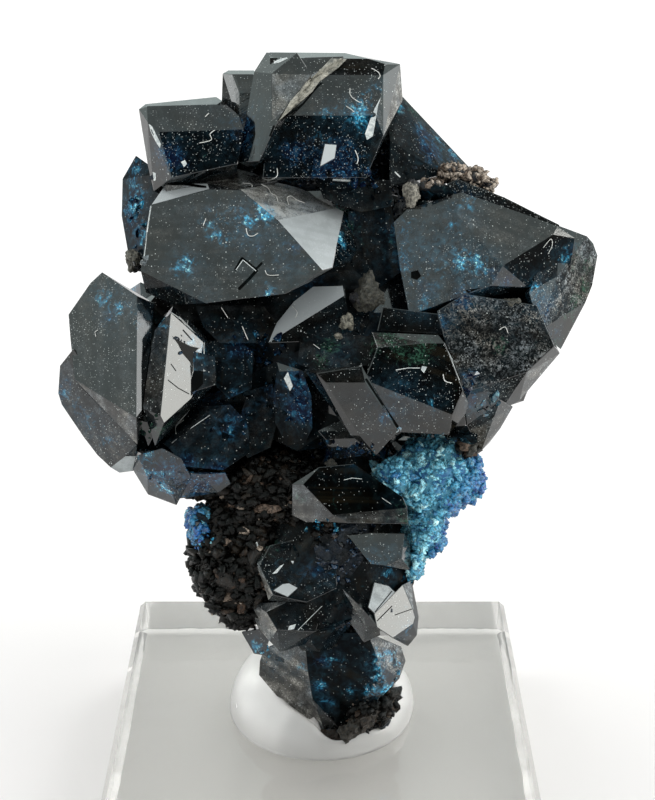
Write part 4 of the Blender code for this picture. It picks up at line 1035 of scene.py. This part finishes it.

# Small crystals in the hollows and along the edges

# Seen on the picture: x, y, how far each way, number, smallest and largest in millimetres, then
# blue, turquoise, green, film (partly painted sheen) and finish
SMALL_GROUPS = [
    (258, 345, 30, 14, 18, 0.35, 0.8, 0.8, 0.3, 0.0, 0.0, PAINTED_SHADE),
    (300, 400, 18, 28, 18, 0.3, 0.8, 1.0, 0.3, 0.0, 0.0, PAINTED_SHADE),
    (268, 400, 22, 24, 14, 0.3, 0.7, 0.3, 0.1, 0.0, 0.0, PAINTED_SHADE),
    (180, 478, 30, 10, 12, 0.4, 0.9, 0.9, 0.4, 0.0, 0.02, PLAIN),
    (325, 352, 22, 10, 12, 0.3, 0.7, 0.1, 0.3, 0.9, 0.0, PAINTED_SHADE),
    (204, 515, 10, 12, 8, 0.4, 0.8, 0.6, 0.4, 0.0, 0.06, PLAIN),
    (208, 541, 5, 5, 4, 0.35, 0.6, 0.2, 1.3, 0.0, 0.0, PLAIN),
    (340, 448, 35, 9, 18, 0.3, 0.7, 0.9, 0.3, 0.0, 0.0, PAINTED_SHADE),
    (487, 405, 12, 12, 10, 0.45, 0.9, 0.6, 0.6, 0.4, 0.03, PLAIN),
    (471, 385, 7, 14, 8, 0.35, 0.7, 1.5, 0.4, 0.0, 0.0, PLAIN),
    (410, 572, 9, 12, 7, 0.4, 0.7, 0.5, 0.8, 0.3, 0.0, PLAIN),
    (385, 668, 15, 24, 16, 0.35, 0.9, 0.6, 0.7, 0.0, 0.12, PLAIN),
    (322, 527, 20, 8, 14, 0.25, 0.5, 0.5, 1.0, 0.2, 0.0, PAINTED_SHADE),
    (345, 178, 45, 8, 18, 0.3, 0.7, 0.9, 0.3, 0.0, 0.0, PAINTED_SHADE),
    (370, 200, 25, 14, 12, 0.3, 0.6, 0.3, 0.1, 0.1, 0.0, PAINTED_SHADE),
    (235, 420, 32, 22, 14, 0.3, 0.7, 0.6, 0.3, 0.1, 0.0, PAINTED_SHADE),
    (265, 655, 9, 8, 5, 0.4, 0.6, 0.2, 1.0, 0.3, 0.0, PLAIN),
    (140, 262, 12, 7, 7, 0.3, 0.5, 0.0, 0.2, 0.2, 0.25, PLAIN),
    (136, 215, 9, 36, 14, 0.4, 0.8, 0.9, 0.6, 0.0, 0.0, PAINTED_SHADE),
    (385, 455, 16, 7, 9, 0.3, 0.6, 0.5, 0.9, 0.0, 0.03, PLAIN),
    (440, 438, 20, 6, 9, 0.3, 0.5, 0.2, 0.5, 0.5, 0.06, PLAIN),
    (400, 432, 14, 6, 6, 0.2, 0.4, 0.1, 0.8, 0.2, 0.2, PLAIN),
    (205, 500, 12, 6, 6, 0.3, 0.6, 0.6, 0.4, 0.1, 0.03, PLAIN),
    (300, 545, 26, 10, 10, 0.25, 0.6, 0.1, 0.1, 0.2, 0.0, PAINTED_SHADE),
    (335, 615, 24, 12, 12, 0.25, 0.6, 0.1, 0.1, 0.1, 0.0, PAINTED_SHADE),
    (150, 425, 10, 14, 8, 0.2, 0.5, 0.0, 0.2, 0.9, 0.0, PAINTED_SHADE),
    (425, 175, 20, 8, 8, 0.25, 0.5, 0.4, 0.2, 0.2, 0.02, PAINTED_SHADE),
    (352, 330, 16, 12, 8, 0.25, 0.5, 0.1, 0.1, 0.3, 0.08, PAINTED_SHADE),
]


# Dark crystals far back between the larger ones: x, y, how far each way, and a place as deep as they are
BACK_CRYSTALS = [
    (438, 193, 22, 11, (450, 215)), (426, 200, 15, 10, (450, 215)), (420, 205, 10, 10, (450, 215)),
    (463, 430, 10, 9, (440, 425)), (458, 433, 16, 8, (440, 425)), (428, 190, 12, 12, (450, 215)),
    (470, 438, 10, 7, (440, 425)),
]


def build_small_crystals():
    """The groups' crystals, each partly sunk in the stone, with the values for each point and face."""
    rng = random.Random(14)
    bm = bmesh.new()
    of_points, of_faces = [], []

    def grow(middle, spin, size, looks):
        corners = []
        for _ in range(9):
            d = any_way(rng)
            corners.append(middle + spin @ Vector([d[i] * size[i] * 0.5 for i in range(3)]))
        points, faces = join_in(bm, hull(corners))
        blue, turquoise, green, film_and_sheen, finish = looks
        varied = [value * rng.uniform(0.6, 1.3) for value in (blue, turquoise, green)]
        veil = 0.15 if finish == PAINTED_SHADE else 0.5
        of_points.extend([(*varied, veil, rng.uniform(0, LINE_START))] * points)
        of_faces.extend([(film_and_sheen * rng.uniform(0.3, 1.8), 0.12, 0.1, finish)] * faces)

    for x, y, wide, high, number, least, most, *looks in SMALL_GROUPS:
        for _ in range(number):
            turn, out = rng.uniform(0, math.tau), math.sqrt(rng.random())
            point, normal = stone_hit(x + wide * out * math.cos(turn), y + high * out * math.sin(turn))
            if point is None:
                continue
            size = least + (most - least) * rng.random() ** 1.5
            stretch = (size, size * rng.uniform(0.7, 1.0), size * rng.uniform(0.8, 1.4))
            spin = Matrix.Rotation(rng.uniform(0, math.tau), 3, Vector((rng.gauss(0, 1), rng.gauss(0, 1), 1.0)))
            grow(point - normal * size * rng.uniform(0.05, 0.3), spin, stretch, looks)
    for x, y, wide, high, beside in BACK_CRYSTALS:
        point, _ = stone_hit(*beside)
        away = (point - EYE).length + 1.2
        across = away / PICTURE_FOCUS * 2.0
        spin = Matrix((RIGHT, AHEAD, ABOVE)).transposed()
        grow(EYE + sight(x, y) * away, spin, (wide * across, 2.4, high * across), (0.2, 0.1, 0.1, 0.0, PAINTED_SHADE))
    bm.faces.ensure_lookup_table()
    for face, values in zip(bm.faces, of_faces):
        face.material_index = values[3]
    return bm, np.array(of_points).T, np.array(of_faces).T


# Marks of painted shade, small steps and lines of painted highlight, the ledge with its painted highlight and lint,
# drawn on the picture and laid on the stone

def stone_hit(x, y):
    """The stone's surface at a place on the picture: point and outward normal."""
    way = sight(x, y)
    near = crystal_tree.ray_cast(EYE, way)
    other = stone_tree.ray_cast(EYE, way)
    if near[0] is None or (other[0] is not None and other[3] < near[3] - 0.2):
        near = other
    return (near[0], near[1]) if near[0] is not None else (None, None)


small_bm, of_points, of_faces = build_small_crystals()
small_crystals = mesh_piece("small_crystals", small_bm)
set_crystal_values(small_crystals.data, of_points, of_faces)
for material in (dark_crystal, painted_shade_crystal):
    small_crystals.data.materials.append(material)


def lay_prism(bm, outline, lift, sink=0.05):
    """A flat closed piece with the outline, standing a little out of the stone."""
    hits = [stone_hit(x, y) for x, y in outline]
    if any(point is None for point, _ in hits):
        return
    middle = stone_hit(sum(x for x, _ in outline) / len(outline), sum(y for _, y in outline) / len(outline))
    normal = middle[1] if middle[1] is not None else hits[0][1]
    top = [bm.verts.new(point + normal * lift) for point, _ in hits]
    low = [bm.verts.new(point - normal * sink) for point, _ in hits]
    made = [bm.faces.new(top), bm.faces.new(list(reversed(low)))]
    for k in range(len(top)):
        nxt = (k + 1) % len(top)
        made.append(bm.faces.new((top[k], low[k], low[nxt], top[nxt])))
    bmesh.ops.recalc_face_normals(bm, faces=made)


def lay_line(bm, points, width, lift=0.012):
    """A narrow flat strip along points on the picture, thinner at its ends."""
    for (x0, y0), (x1, y1) in zip(points, points[1:]):
        away = math.hypot(x1 - x0, y1 - y0)
        nx, ny = -(y1 - y0) / away * width / 2.0, (x1 - x0) / away * width / 2.0
        ex, ey = (x1 - x0) / away * width * 0.3, (y1 - y0) / away * width * 0.3
        lay_prism(bm, [
            (x0 - ex, y0 - ey), (x0 + nx, y0 + ny), (x1 + nx, y1 + ny), (x1 + ex, y1 + ey), (x1 - nx, y1 - ny),
            (x0 - nx, y0 - ny),
        ], lift)


# Rough bits of rock on the picture: outline, peak, how far it stands out, how pale, and whether it
# lies before everything inside its outline
CHUNKS = [
    ([(351, 305), (355, 293), (362, 278), (369, 268), (376, 281), (383, 293), (385, 304), (373, 310), (360, 311)],
     (366, 290), 0.4, 0.14, True),
    ([(403, 187), (411, 180), (419, 186), (420, 198), (414, 208), (406, 204)], (411, 192), 0.5, 0.6, True),
    ([(338, 317), (346, 312), (354, 318), (351, 331), (341, 332)], (346, 321), 0.35, 0.5, True),
    ([(126, 252), (134, 249), (142, 256), (141, 268), (131, 271), (125, 262)], (134, 259), 0.4, 0.4, True),
    ([(463, 444), (470, 438), (479, 443), (478, 454), (467, 457)], (471, 447), 0.4, 0.12, True),
    ([(503, 301), (512, 298), (521, 302), (519, 308), (507, 307)], (512, 303), 0.25, 0.2, False),
    ([(333, 335), (340, 331), (346, 338), (340, 343)], (340, 337), 0.3, 0.55, False),
    ([(325, 464), (333, 458), (338, 466), (331, 473)], (331, 466), 0.3, 0.1, False),
    ([(316, 738), (322, 730), (338, 727), (347, 735), (344, 747), (322, 749)], (331, 736), 0.3, 0.0, True),
    ([(336, 731), (352, 718), (365, 722), (360, 735), (345, 745)], (350, 731), 0.25, 0.05, True),
    ([(354, 719), (372, 703), (382, 710), (374, 724), (361, 733)], (367, 717), 0.25, 0.02, True),
]


def build_chunks():
    """The rough bits of rock, angular, with a broken surface, and how pale each point is."""
    bm = bmesh.new()
    shades = []
    for outline, peak, lift, shade, front in CHUNKS:
        hits = [stone_hit(x, y)[0] for x, y in outline]
        top = stone_hit(*peak)[0]
        depths = sorted((h - EYE).length for h in hits if h is not None)
        if top is not None and front:
            depths.insert(0, min(depths[0], (top - EYE).length))
        middle = depths[0] if front else depths[len(depths) // 2]
        corners = [EYE + sight(x, y) * (middle + 0.3) for x, y in outline]
        corners += [EYE + sight(*peak) * (middle - lift), EYE + sight(*peak) * (middle + 1.2)]
        halfway = [((x + peak[0]) / 2.0, (y + peak[1]) / 2.0) for x, y in outline[::2]]
        corners += [EYE + sight(x, y) * (middle - lift * 0.75) for x, y in halfway]
        chunk = hull(corners)
        bmesh.ops.triangulate(chunk, faces=chunk.faces[:])
        for _ in range(3):
            long_edges = [e for e in chunk.edges if e.calc_length() > 0.1]
            bmesh.ops.subdivide_edges(chunk, edges=long_edges, cuts=1, use_grid_fill=True)
        chunk.normal_update()
        for v in chunk.verts:
            v.co += v.normal * (noise.fractal(v.co * 2.6, 0.8, 2.0, 4) * 0.2)
        bmesh.ops.triangulate(chunk, faces=chunk.faces[:])
        shades += [shade] * join_in(bm, chunk)[0]
    return bm, shades


chunk_bm, chunk_shades = build_chunks()
chunks = mesh_piece("rock_bits", chunk_bm)
set_values(chunks.data, "shade", chunk_shades)
chunks.data.materials.append(grain_material("rock_bit", [
    (0.0, (0.016, 0.009, 0.005)), (0.12, (0.03, 0.029, 0.023)), (0.5, (0.13, 0.125, 0.1)), (1.0, (0.5, 0.47, 0.42)),
], 0.4, 0.8, IOR=1.5))

# On the picture: dark pits and cuts, dark lines and their width, both painted shade in pits, cuts and grooves; bright
# steps and bright lines, both painted highlights on small steps and edges; lint
PAINTED_SHADE_MARKS = [
    [(172, 336), (178, 340), (178, 344)], [(178, 340), (190, 346), (190, 362), (183, 354), (178, 344)],
    [(190, 346), (199, 348), (193, 354), (193, 370), (190, 362)], [(193, 370), (191, 378), (190, 364)],
    [(194, 371), (203, 371), (203, 384), (191, 396), (191, 380)], [(152, 324), (168, 336), (151, 352)],
    [(154, 307), (169, 324), (167, 329), (153, 322)],
    [(465, 290), (480, 288), (503, 288), (504, 299), (492, 297), (468, 293)],
    [(503, 288), (525, 288), (525, 297), (504, 299)], [(411, 272), (418, 270), (421, 276), (417, 280), (411, 278)],
]
PAINTED_SHADE_LINES = [
    ([(235, 270), (242, 258), (256, 269), (262, 263)], 2.2), ([(239, 289), (250, 278), (257, 270)], 3.0),
    ([(366, 379), (383, 405), (398, 427)], 2.2), ([(168, 380), (178, 388), (189, 394)], 0.9),
    ([(165, 183), (186, 184), (206, 187)], 2.0), ([(375, 612), (392, 591)], 0.9), ([(377, 621), (392, 606)], 0.9),
    ([(380, 630), (395, 615), (412, 609)], 0.8), ([(183, 330), (192, 340)], 1.2), ([(171, 364), (176, 371)], 0.8),
    ([(345, 61), (339, 69), (318, 86), (303, 104), (284, 118), (274, 126), (270, 136), (268, 150)], 1.8),
]
PAINTED_HIGHLIGHT_MARKS = [
    [(381, 97), (378, 106), (376, 118), (370, 120), (375, 108)],
    [(376, 118), (373, 136), (367, 140), (365, 134), (370, 120)],
    [(149, 124), (152, 126), (157, 136), (161, 144), (160, 148), (156, 142), (151, 132)],
    [(153, 172), (156, 173), (156, 180), (154, 181)], [(181, 162), (185, 160), (187, 164), (184, 167)],
    [(274, 62), (281, 59), (287, 57.6), (288, 58.6), (280, 62.4), (274, 64)],
    [(422, 366), (427, 367), (424, 373), (421, 370)], [(348, 370), (362, 365), (360, 369)],
    [(398, 440), (404, 436), (410, 437), (408, 440)], [(432, 438), (437, 437), (436, 442)],
    [(430, 191), (434, 196), (427, 197)], [(284, 378), (288, 372), (293, 386), (290, 391)],
    [(254, 543), (257, 542), (258, 546), (255, 547)], [(289, 626), (296, 624), (294, 629), (288, 630)],
    [(272, 574), (280, 566), (284, 564), (277, 573)], [(291, 561), (294, 561), (293, 564)],
]
PAINTED_HIGHLIGHT_LINES = [
    ([(151, 206), (147, 232), (144, 258)], 1.0), ([(444, 345), (452, 360), (460, 380), (463, 396)], 1.0),
    ([(396, 370), (408, 368), (420, 368)], 0.7), ([(172, 443), (194, 426), (210, 415)], 0.5),
    ([(199, 397), (178, 424), (157, 447)], 0.5), ([(344, 480), (352, 478), (362, 479)], 0.5),
    ([(382, 498), (391, 504)], 0.4), ([(298, 630), (310, 618), (322, 606)], 0.4),
    ([(395, 172), (400, 177), (398, 186)], 1.2), ([(236, 270), (243, 260), (256, 271)], 0.7),
    ([(204, 343), (204, 371)], 1.2), ([(333, 180), (350, 181)], 1.2), ([(345, 536), (372, 534), (403, 533)], 0.8),
    ([(171, 313), (182, 320), (204, 343)], 1.1),
]
LINT = [
    [(371, 68), (378, 72), (380, 76), (378, 79)], [(350, 88), (350, 94), (353, 98), (359, 102), (362, 102)],
    [(346, 106), (352, 110), (354, 112)], [(215, 130), (210, 134), (211, 140), (199, 143)], [(209, 113), (205, 117)],
    [(242, 183), (251, 184), (252, 187)], [(261, 184), (268, 188), (271, 193), (276, 196), (278, 202)],
    [(268, 194), (265, 195)], [(289, 205), (287, 198), (291, 196), (297, 200), (305, 203)],
    [(246, 228), (248, 235), (253, 236), (258, 233)], [(277, 168), (277, 176), (269, 180), (262, 178)],
    [(206, 218), (203, 226)], [(98, 330), (95, 332), (96, 337)], [(184, 420), (176, 426), (176, 434)],
    [(265, 270), (268, 275), (279, 275)], [(242, 326), (245, 333), (248, 340)], [(221, 307), (228, 318)],
    [(291, 305), (297, 312), (295, 318)], [(179, 316), (186, 325), (188, 320)],
    [(543, 248), (551, 239), (552, 246), (548, 254)], [(443, 374), (445, 381), (452, 383)],
    [(499, 330), (505, 327), (508, 333)], [(313, 344), (320, 349)], [(355, 150), (358, 158), (357, 164)],
]


def build_marks(outlines, lines, lift):
    """Thin flat marks laid on the stone."""
    bm = bmesh.new()
    for outline in outlines:
        lay_prism(bm, outline, lift)
    for points, width in lines:
        lay_line(bm, points, width, lift)
    return bm


def build_ledge():
    """The ledge where one growth step of the top crystal ends on the next, pale as a painted highlight where the
    light catches it.
    """
    upper = [(331, 58.5), (318, 72), (307, 82), (290, 102), (284, 112), (279, 120)]
    lower = [(347, 59), (338, 68), (319, 82), (312, 92), (296, 106), (281, 119)]
    bm = bmesh.new()
    rng = random.Random(6)
    rows = []
    steps = 14
    for k in range(5 * steps + 1):
        at, part = min(k // steps, 4), (k - min(k // steps, 4) * steps) / steps
        ends = []
        for side in (upper, lower):
            x = side[at][0] + (side[at + 1][0] - side[at][0]) * part
            y = side[at][1] + (side[at + 1][1] - side[at][1]) * part
            ends.append((x, y))
        row = []
        for j in range(7):
            t = j / 6.0
            x = ends[0][0] + (ends[1][0] - ends[0][0]) * t
            y = ends[0][1] + (ends[1][1] - ends[0][1]) * t
            point, _ = stone_hit(x, y)
            if point is None:
                point = rows[-1][j].co.copy() if rows else EYE + sight(x, y) * TO_PLANE
            rough = rng.uniform(-0.03, 0.03) if 0 < j < 6 else 0.0
            row.append(bm.verts.new(point - sight(x, y) * (0.04 + 0.16 * math.sin(math.pi * t) + rough)))
        rows.append(row)
    for one, two in zip(rows, rows[1:]):
        for j in range(6):
            bm.faces.new((one[j], one[j + 1], two[j + 1], two[j]))
    bmesh.ops.recalc_face_normals(bm, faces=bm.faces[:])
    bmesh.ops.solidify(bm, geom=bm.faces[:], thickness=0.05)
    bmesh.ops.recalc_face_normals(bm, faces=bm.faces[:])
    return bm


def smooth_path(points, parts=6):
    """Points along a curve through the given places on the picture."""
    held = [points[0]] + points + [points[-1]]
    found = []
    for a, b, c, d in zip(held, held[1:], held[2:], held[3:]):
        for k in range(parts):
            t = k / parts
            found.append(tuple(0.5 * (
                2 * b[i] + (c[i] - a[i]) * t + (2 * a[i] - 5 * b[i] + 4 * c[i] - d[i]) * t * t
                + (3 * b[i] - a[i] - 3 * c[i] + d[i]) * t ** 3
            ) for i in range(2)))
    return found + [points[-1]]


def build_lint():
    """Thin curled fibres that lie on the stone."""
    bm = bmesh.new()
    rng = random.Random(9)
    for points in LINT:
        radius = rng.uniform(0.018, 0.026)
        path = []
        for x, y in smooth_path(points):
            point, _ = stone_hit(x, y)
            if point is not None:
                path.append(point - sight(x, y) * (0.05 + rng.uniform(0.0, 0.04)))
        rings = []
        for k, point in enumerate(path):
            along = (path[min(k + 1, len(path) - 1)] - path[max(k - 1, 0)]).normalized()
            side = along.cross(AHEAD).normalized()
            rise = along.cross(side).normalized()
            thin = radius * (0.4 if k in (0, len(path) - 1) else 1.0)
            rings.append([
                bm.verts.new(point + (side * math.cos(t) + rise * math.sin(t)) * thin)
                for t in (math.tau * q / 5 for q in range(5))
            ])
        for one, two in zip(rings, rings[1:]):
            for q in range(5):
                bm.faces.new((one[q], one[(q + 1) % 5], two[(q + 1) % 5], two[q]))
        if rings:
            bm.faces.new(list(reversed(rings[0])))
            bm.faces.new(rings[-1])
    bmesh.ops.recalc_face_normals(bm, faces=bm.faces[:])
    for face in bm.faces:
        face.smooth = True
    return bm


def pale_material(name, low, high, rough):
    """A pale finish, mottled between two colours, with fine scratches."""
    made, tree, shader = new_material(name, IOR=1.55)
    place = place_mm(tree)
    mottle = noise_node(tree, place, 3.0, 5.0, 0.7, 1.0).outputs["Fac"]
    tree.links.new(blend_colours(tree, between(tree, mottle, 0.35, 0.65), low, high), shader.inputs["Base Color"])
    tree.links.new(between(tree, mottle, 0.3, 0.7, rough, rough + 0.25), shader.inputs["Roughness"])
    tree.links.new(bumped(tree, mottle, 0.5, 0.1), shader.inputs["Normal"])
    return made


# Painted shade: dark sheets in the pits, cuts and grooves, with the finish that mirrors hardly anything.
painted_shade_marks = mesh_piece("painted_shade_marks", build_marks(PAINTED_SHADE_MARKS, PAINTED_SHADE_LINES, 0.012))
painted_shade_marks.data.materials.append(painted_shade_crystal)
# Painted highlights: pale marks and lines on small steps and edges, where light catches them.
painted_highlights = mesh_piece("painted_highlight_steps", build_marks(PAINTED_HIGHLIGHT_MARKS, PAINTED_HIGHLIGHT_LINES, 0.02))
painted_highlights.data.materials.append(pale_material("painted_highlight_step", (0.4, 0.45, 0.46), (0.75, 0.8, 0.78), 0.15))
# The ledge's pale colour is a painted highlight.
ledge = mesh_piece("ledge_with_painted_highlight", build_ledge())
ledge.data.materials.append(pale_material("ledge_with_painted_highlight", (0.1, 0.1, 0.085), (0.42, 0.41, 0.35), 0.3))
lint = mesh_piece("lint", build_lint())
lint.data.materials.append(pale_material("lint", (0.6, 0.62, 0.58), (0.8, 0.82, 0.8), 0.6))

# The putty dome, whole where the CAD solid has its pocket, and the clear base

def hides_stone(point):
    """Whether the stone lies straight behind the point as the eye sees it."""
    away = point - EYE
    hit = stone_tree.ray_cast(EYE, away.normalized())
    return hit[0] is not None and hit[3] > away.length


DOME_HEIGHT = 4.4
DOME_RINGS, DOME_SIDES = 40, 120
OVER_BASE = 0.004  # keeps the putty's underside off the base's top


def build_dome():
    """The putty: a low dome, pressed down under the stone's tip."""
    low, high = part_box("mounting_gel")
    base_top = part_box("acrylic_base")[1].z / MM
    radius = (high.x - low.x) / MM / 2.0
    rings, sides = DOME_RINGS, DOME_SIDES
    bm = bmesh.new()
    made = []
    floor_z = base_top + OVER_BASE
    for i in range(rings):
        rise = math.radians(90.0) * i / rings
        ring = []
        for k in range(sides):
            t = math.tau * k / sides
            out = radius * math.cos(rise)
            x, y, z = out * math.cos(t), out * math.sin(t), DOME_HEIGHT * math.sin(rise) ** 0.9
            under = stone_tree.ray_cast(Vector((x, y, floor_z)), Vector((0.0, 0.0, 1.0)))
            if under[0] is not None and under[3] < z + 0.3:
                z = max(0.0, under[3])
            while z > 0.0 and hides_stone(Vector((x, y, floor_z + z))):
                z -= 0.1
            ring.append([x, y, max(0.0, z)])
        made.append(ring)
    for _ in range(2):
        for i in range(1, rings - 1):
            old = [p[2] for p in made[i]]
            for k in range(sides):
                around = (old[k - 1] + old[(k + 1) % sides] + made[i - 1][k][2] + made[i + 1][k][2]) / 4.0
                made[i][k][2] = old[k] * 0.5 + around * 0.5
    middle = sum(p[2] for p in made[-1]) / sides
    made = [[bm.verts.new((x, y, floor_z + z)) for x, y, z in ring] for ring in made]
    crown = bm.verts.new((0.0, 0.0, floor_z + middle))
    for lower, upper in zip(made, made[1:]):
        for k in range(sides):
            nxt = (k + 1) % sides
            bm.faces.new((lower[k], lower[nxt], upper[nxt], upper[k]))
    for k in range(sides):
        bm.faces.new((made[-1][k], made[-1][(k + 1) % sides], crown))
    bm.faces.new(list(reversed(made[0])))
    for face in bm.faces:
        face.smooth = len(face.verts) < sides
    return bm


dome = mesh_piece("putty_dome", build_dome())
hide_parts("mounting_gel")


def clear_material(name, tint, ior, rough, least_rough, density, smear, clear):
    """A clear body: its absorption's tint and density, smudges of this size, and how clear it is."""
    made, tree, shader = new_material(name, IOR=ior)
    shader.inputs["Transmission Weight"].default_value = clear
    shader.inputs["Base Color"].default_value = (0.97, 0.97, 0.95, 1.0)
    place = place_mm(tree)
    smudge = between(tree, noise_node(tree, place, smear, 5.0, 0.6).outputs["Fac"], 0.45, 0.75, 0.0, 1.0)
    roughness = plus(tree, times(tree, smudge, rough), least_rough)
    tree.links.new(roughness, shader.inputs["Roughness"])
    waves = noise_node(tree, place, 0.5, 2.0, 0.5).outputs["Fac"]
    tree.links.new(bumped(tree, waves, 0.15, 0.3), shader.inputs["Normal"])
    absorb = put(tree, "ShaderNodeVolumeAbsorption")
    absorb.inputs["Color"].default_value = (*tint, 1.0)
    absorb.inputs["Density"].default_value = density
    tree.links.new(absorb.outputs[0], tree.nodes["Material Output"].inputs["Volume"])
    return made


dome.data.materials.append(clear_material("clear_putty", (0.93, 0.93, 0.9), 1.4, 0.08, 0.2, 10.0, 0.4, 0.6))
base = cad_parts["acrylic_base"]
base.data.materials.clear()
base.data.materials.append(clear_material("clear_plastic", (0.84, 0.81, 0.765), 1.49, 0.06, 0.01, 16.0, 0.25, 0.84))

# Floor

FLOOR_HALF, FLOOR_DROP = 1500.0, 0.05


def floor_material():
    """Pale, with painted shade: a little darker close around the base."""
    made, tree, shader = new_material("floor_with_painted_shade", Roughness=0.8)
    place = put(tree, "ShaderNodeSeparateXYZ", {0: place_mm(tree)}).outputs
    level = put(tree, "ShaderNodeCombineXYZ", {0: place[0], 1: place[1]}).outputs[0]
    away = put(tree, "ShaderNodeVectorMath", {0: level}, operation="LENGTH").outputs["Value"]
    # Painted shade around the base.
    colour = blend_colours(tree, between(tree, away, 15.0, 60.0), (0.84, 0.832, 0.82), (0.9, 0.9, 0.895))
    tree.links.new(colour, shader.inputs["Base Color"])
    return made


floor = bmesh.new()
bmesh.ops.create_grid(floor, x_segments=1, y_segments=1, size=FLOOR_HALF)
bmesh.ops.translate(floor, vec=(0.0, 0.0, -FLOOR_DROP), verts=floor.verts)
bmesh.ops.scale(floor, vec=(MM, MM, MM), verts=floor.verts)
floor_mesh = bpy.data.meshes.new("floor")
floor.to_mesh(floor_mesh)
floor.free()
ground = bpy.data.objects.new("floor", floor_mesh)
bpy.context.scene.collection.objects.link(ground)
ground.data.materials.append(floor_material())

# Camera

camera_data = bpy.data.cameras.new("camera")
camera_data.lens = LENS
camera_data.sensor_fit = "VERTICAL"
camera_data.sensor_width = SENSOR
camera_data.sensor_height = SENSOR
camera_data.clip_start = 0.002
camera = bpy.data.objects.new("camera", camera_data)
camera.location = EYE * MM
camera.rotation_euler = (math.radians(90.0) - EYE_DOWN, 0.0, 0.0)
bpy.context.scene.collection.objects.link(camera)
bpy.context.scene.camera = camera

# Light

bpy.context.scene.view_settings.view_transform = "Standard"


WHITE = (1.0, 1.0, 1.0)
LAMPS_AWAY = 400.0
LAMPS_MEET = Vector((0.0, 0.0, 25.0))
# Name, then turn, rise, width and height in degrees, then radiance and tint
SOFTBOXES = [
    ("key_right", 76, 9, 21, 22, 7.5, (1.0, 0.985, 0.93)), ("band_right", 66, 38, 11, 9, 4.2, WHITE),
    ("side_right", 105, 11, 14, 16, 2.0, WHITE), ("back_right", 138, 40, 20, 22, 4.0, WHITE),
    ("left_strip", -101, 4, 11, 16, 3.0, WHITE), ("left_top", -102, 55, 18, 18, 3.0, WHITE),
]


def softbox(name, turn, rise, wide, high, radiance, tint):
    """A soft light, wide and high in degrees, as bright to the eye as the radiance."""
    az, el = math.radians(turn), math.radians(rise)
    away = Vector((math.sin(az) * math.cos(el), -math.cos(az) * math.cos(el), math.sin(el)))
    data = bpy.data.lights.new(name, "AREA")
    data.shape = "RECTANGLE"
    data.size = 2.0 * math.tan(math.radians(wide) / 2.0) * LAMPS_AWAY * MM
    data.size_y = 2.0 * math.tan(math.radians(high) / 2.0) * LAMPS_AWAY * MM
    data.energy = radiance * math.pi * data.size * data.size_y
    data.color = tint
    lamp = bpy.data.objects.new(name, data)
    lamp.location = (LAMPS_MEET + away * LAMPS_AWAY) * MM
    lamp.rotation_euler = away.to_track_quat("Z", "Y").to_euler()
    lamp.visible_camera = False
    bpy.context.scene.collection.objects.link(lamp)


for row in SOFTBOXES:
    softbox(*row)


# The dark place mirrored in the stone's front, in degrees: to each side, its lower and its upper edge
DARK_SIDE, DARK_LOW, DARK_HIGH = 21.0, 1.0, 33.5
DARK_TONE = (0.022, 0.022, 0.022)
MIRRORED_TINT = (0.84, 0.98, 0.96, 1.0)


def build_world():
    """Pale all round, with the dark place of the camera and of who holds it."""
    world = bpy.data.worlds.new("studio")
    bpy.context.scene.world = world
    world.use_nodes = True
    tree = world.node_tree
    background = tree.nodes["Background"]
    way = put(tree, "ShaderNodeTexCoord").outputs["Generated"]
    x, y, z = put(tree, "ShaderNodeSeparateXYZ", {0: way}).outputs
    turn = math_node(tree, "ABSOLUTE", math_node(tree, "ARCTAN2", x, times(tree, y, -1.0)))
    rise = math_node(tree, "ARCSINE", z)
    soft = math.radians(1.0)
    side, low, high = math.radians(DARK_SIDE), math.radians(DARK_LOW), math.radians(DARK_HIGH)
    mask = between(tree, turn, side, side + soft, 1.0, 0.0)
    mask = times(tree, mask, between(tree, rise, low - soft, low))
    mask = times(tree, mask, between(tree, rise, high, high + soft, 1.0, 0.0))
    sides = between(tree, math_node(tree, "ABSOLUTE", x), 0.15, 0.75, 0.85, 1.3)
    cloudy = noise_node(tree, way, 9.0, 3.0, 0.55).outputs["Fac"]
    sides = times(tree, sides, between(tree, cloudy, 0.35, 0.65, 0.86, 1.14))
    bright = put(tree, "ShaderNodeCombineColor", {0: sides, 1: sides, 2: sides}).outputs[0]
    colour = blend_colours(tree, mask, bright, DARK_TONE)
    path = put(tree, "ShaderNodeLightPath").outputs
    mirrored = put(
        tree, "ShaderNodeMix", {6: colour, 7: MIRRORED_TINT}, data_type="RGBA", blend_type="MULTIPLY",
    )
    through = minus(tree, 1.0, path["Is Transmission Ray"])
    tree.links.new(times(tree, path["Is Glossy Ray"], through), mirrored.inputs[0])
    colour = blend_colours(tree, path["Is Camera Ray"], mirrored.outputs[2], (1.2, 1.2, 1.2))
    tree.links.new(colour, background.inputs["Color"])
    background.inputs["Strength"].default_value = 1.0


build_world()
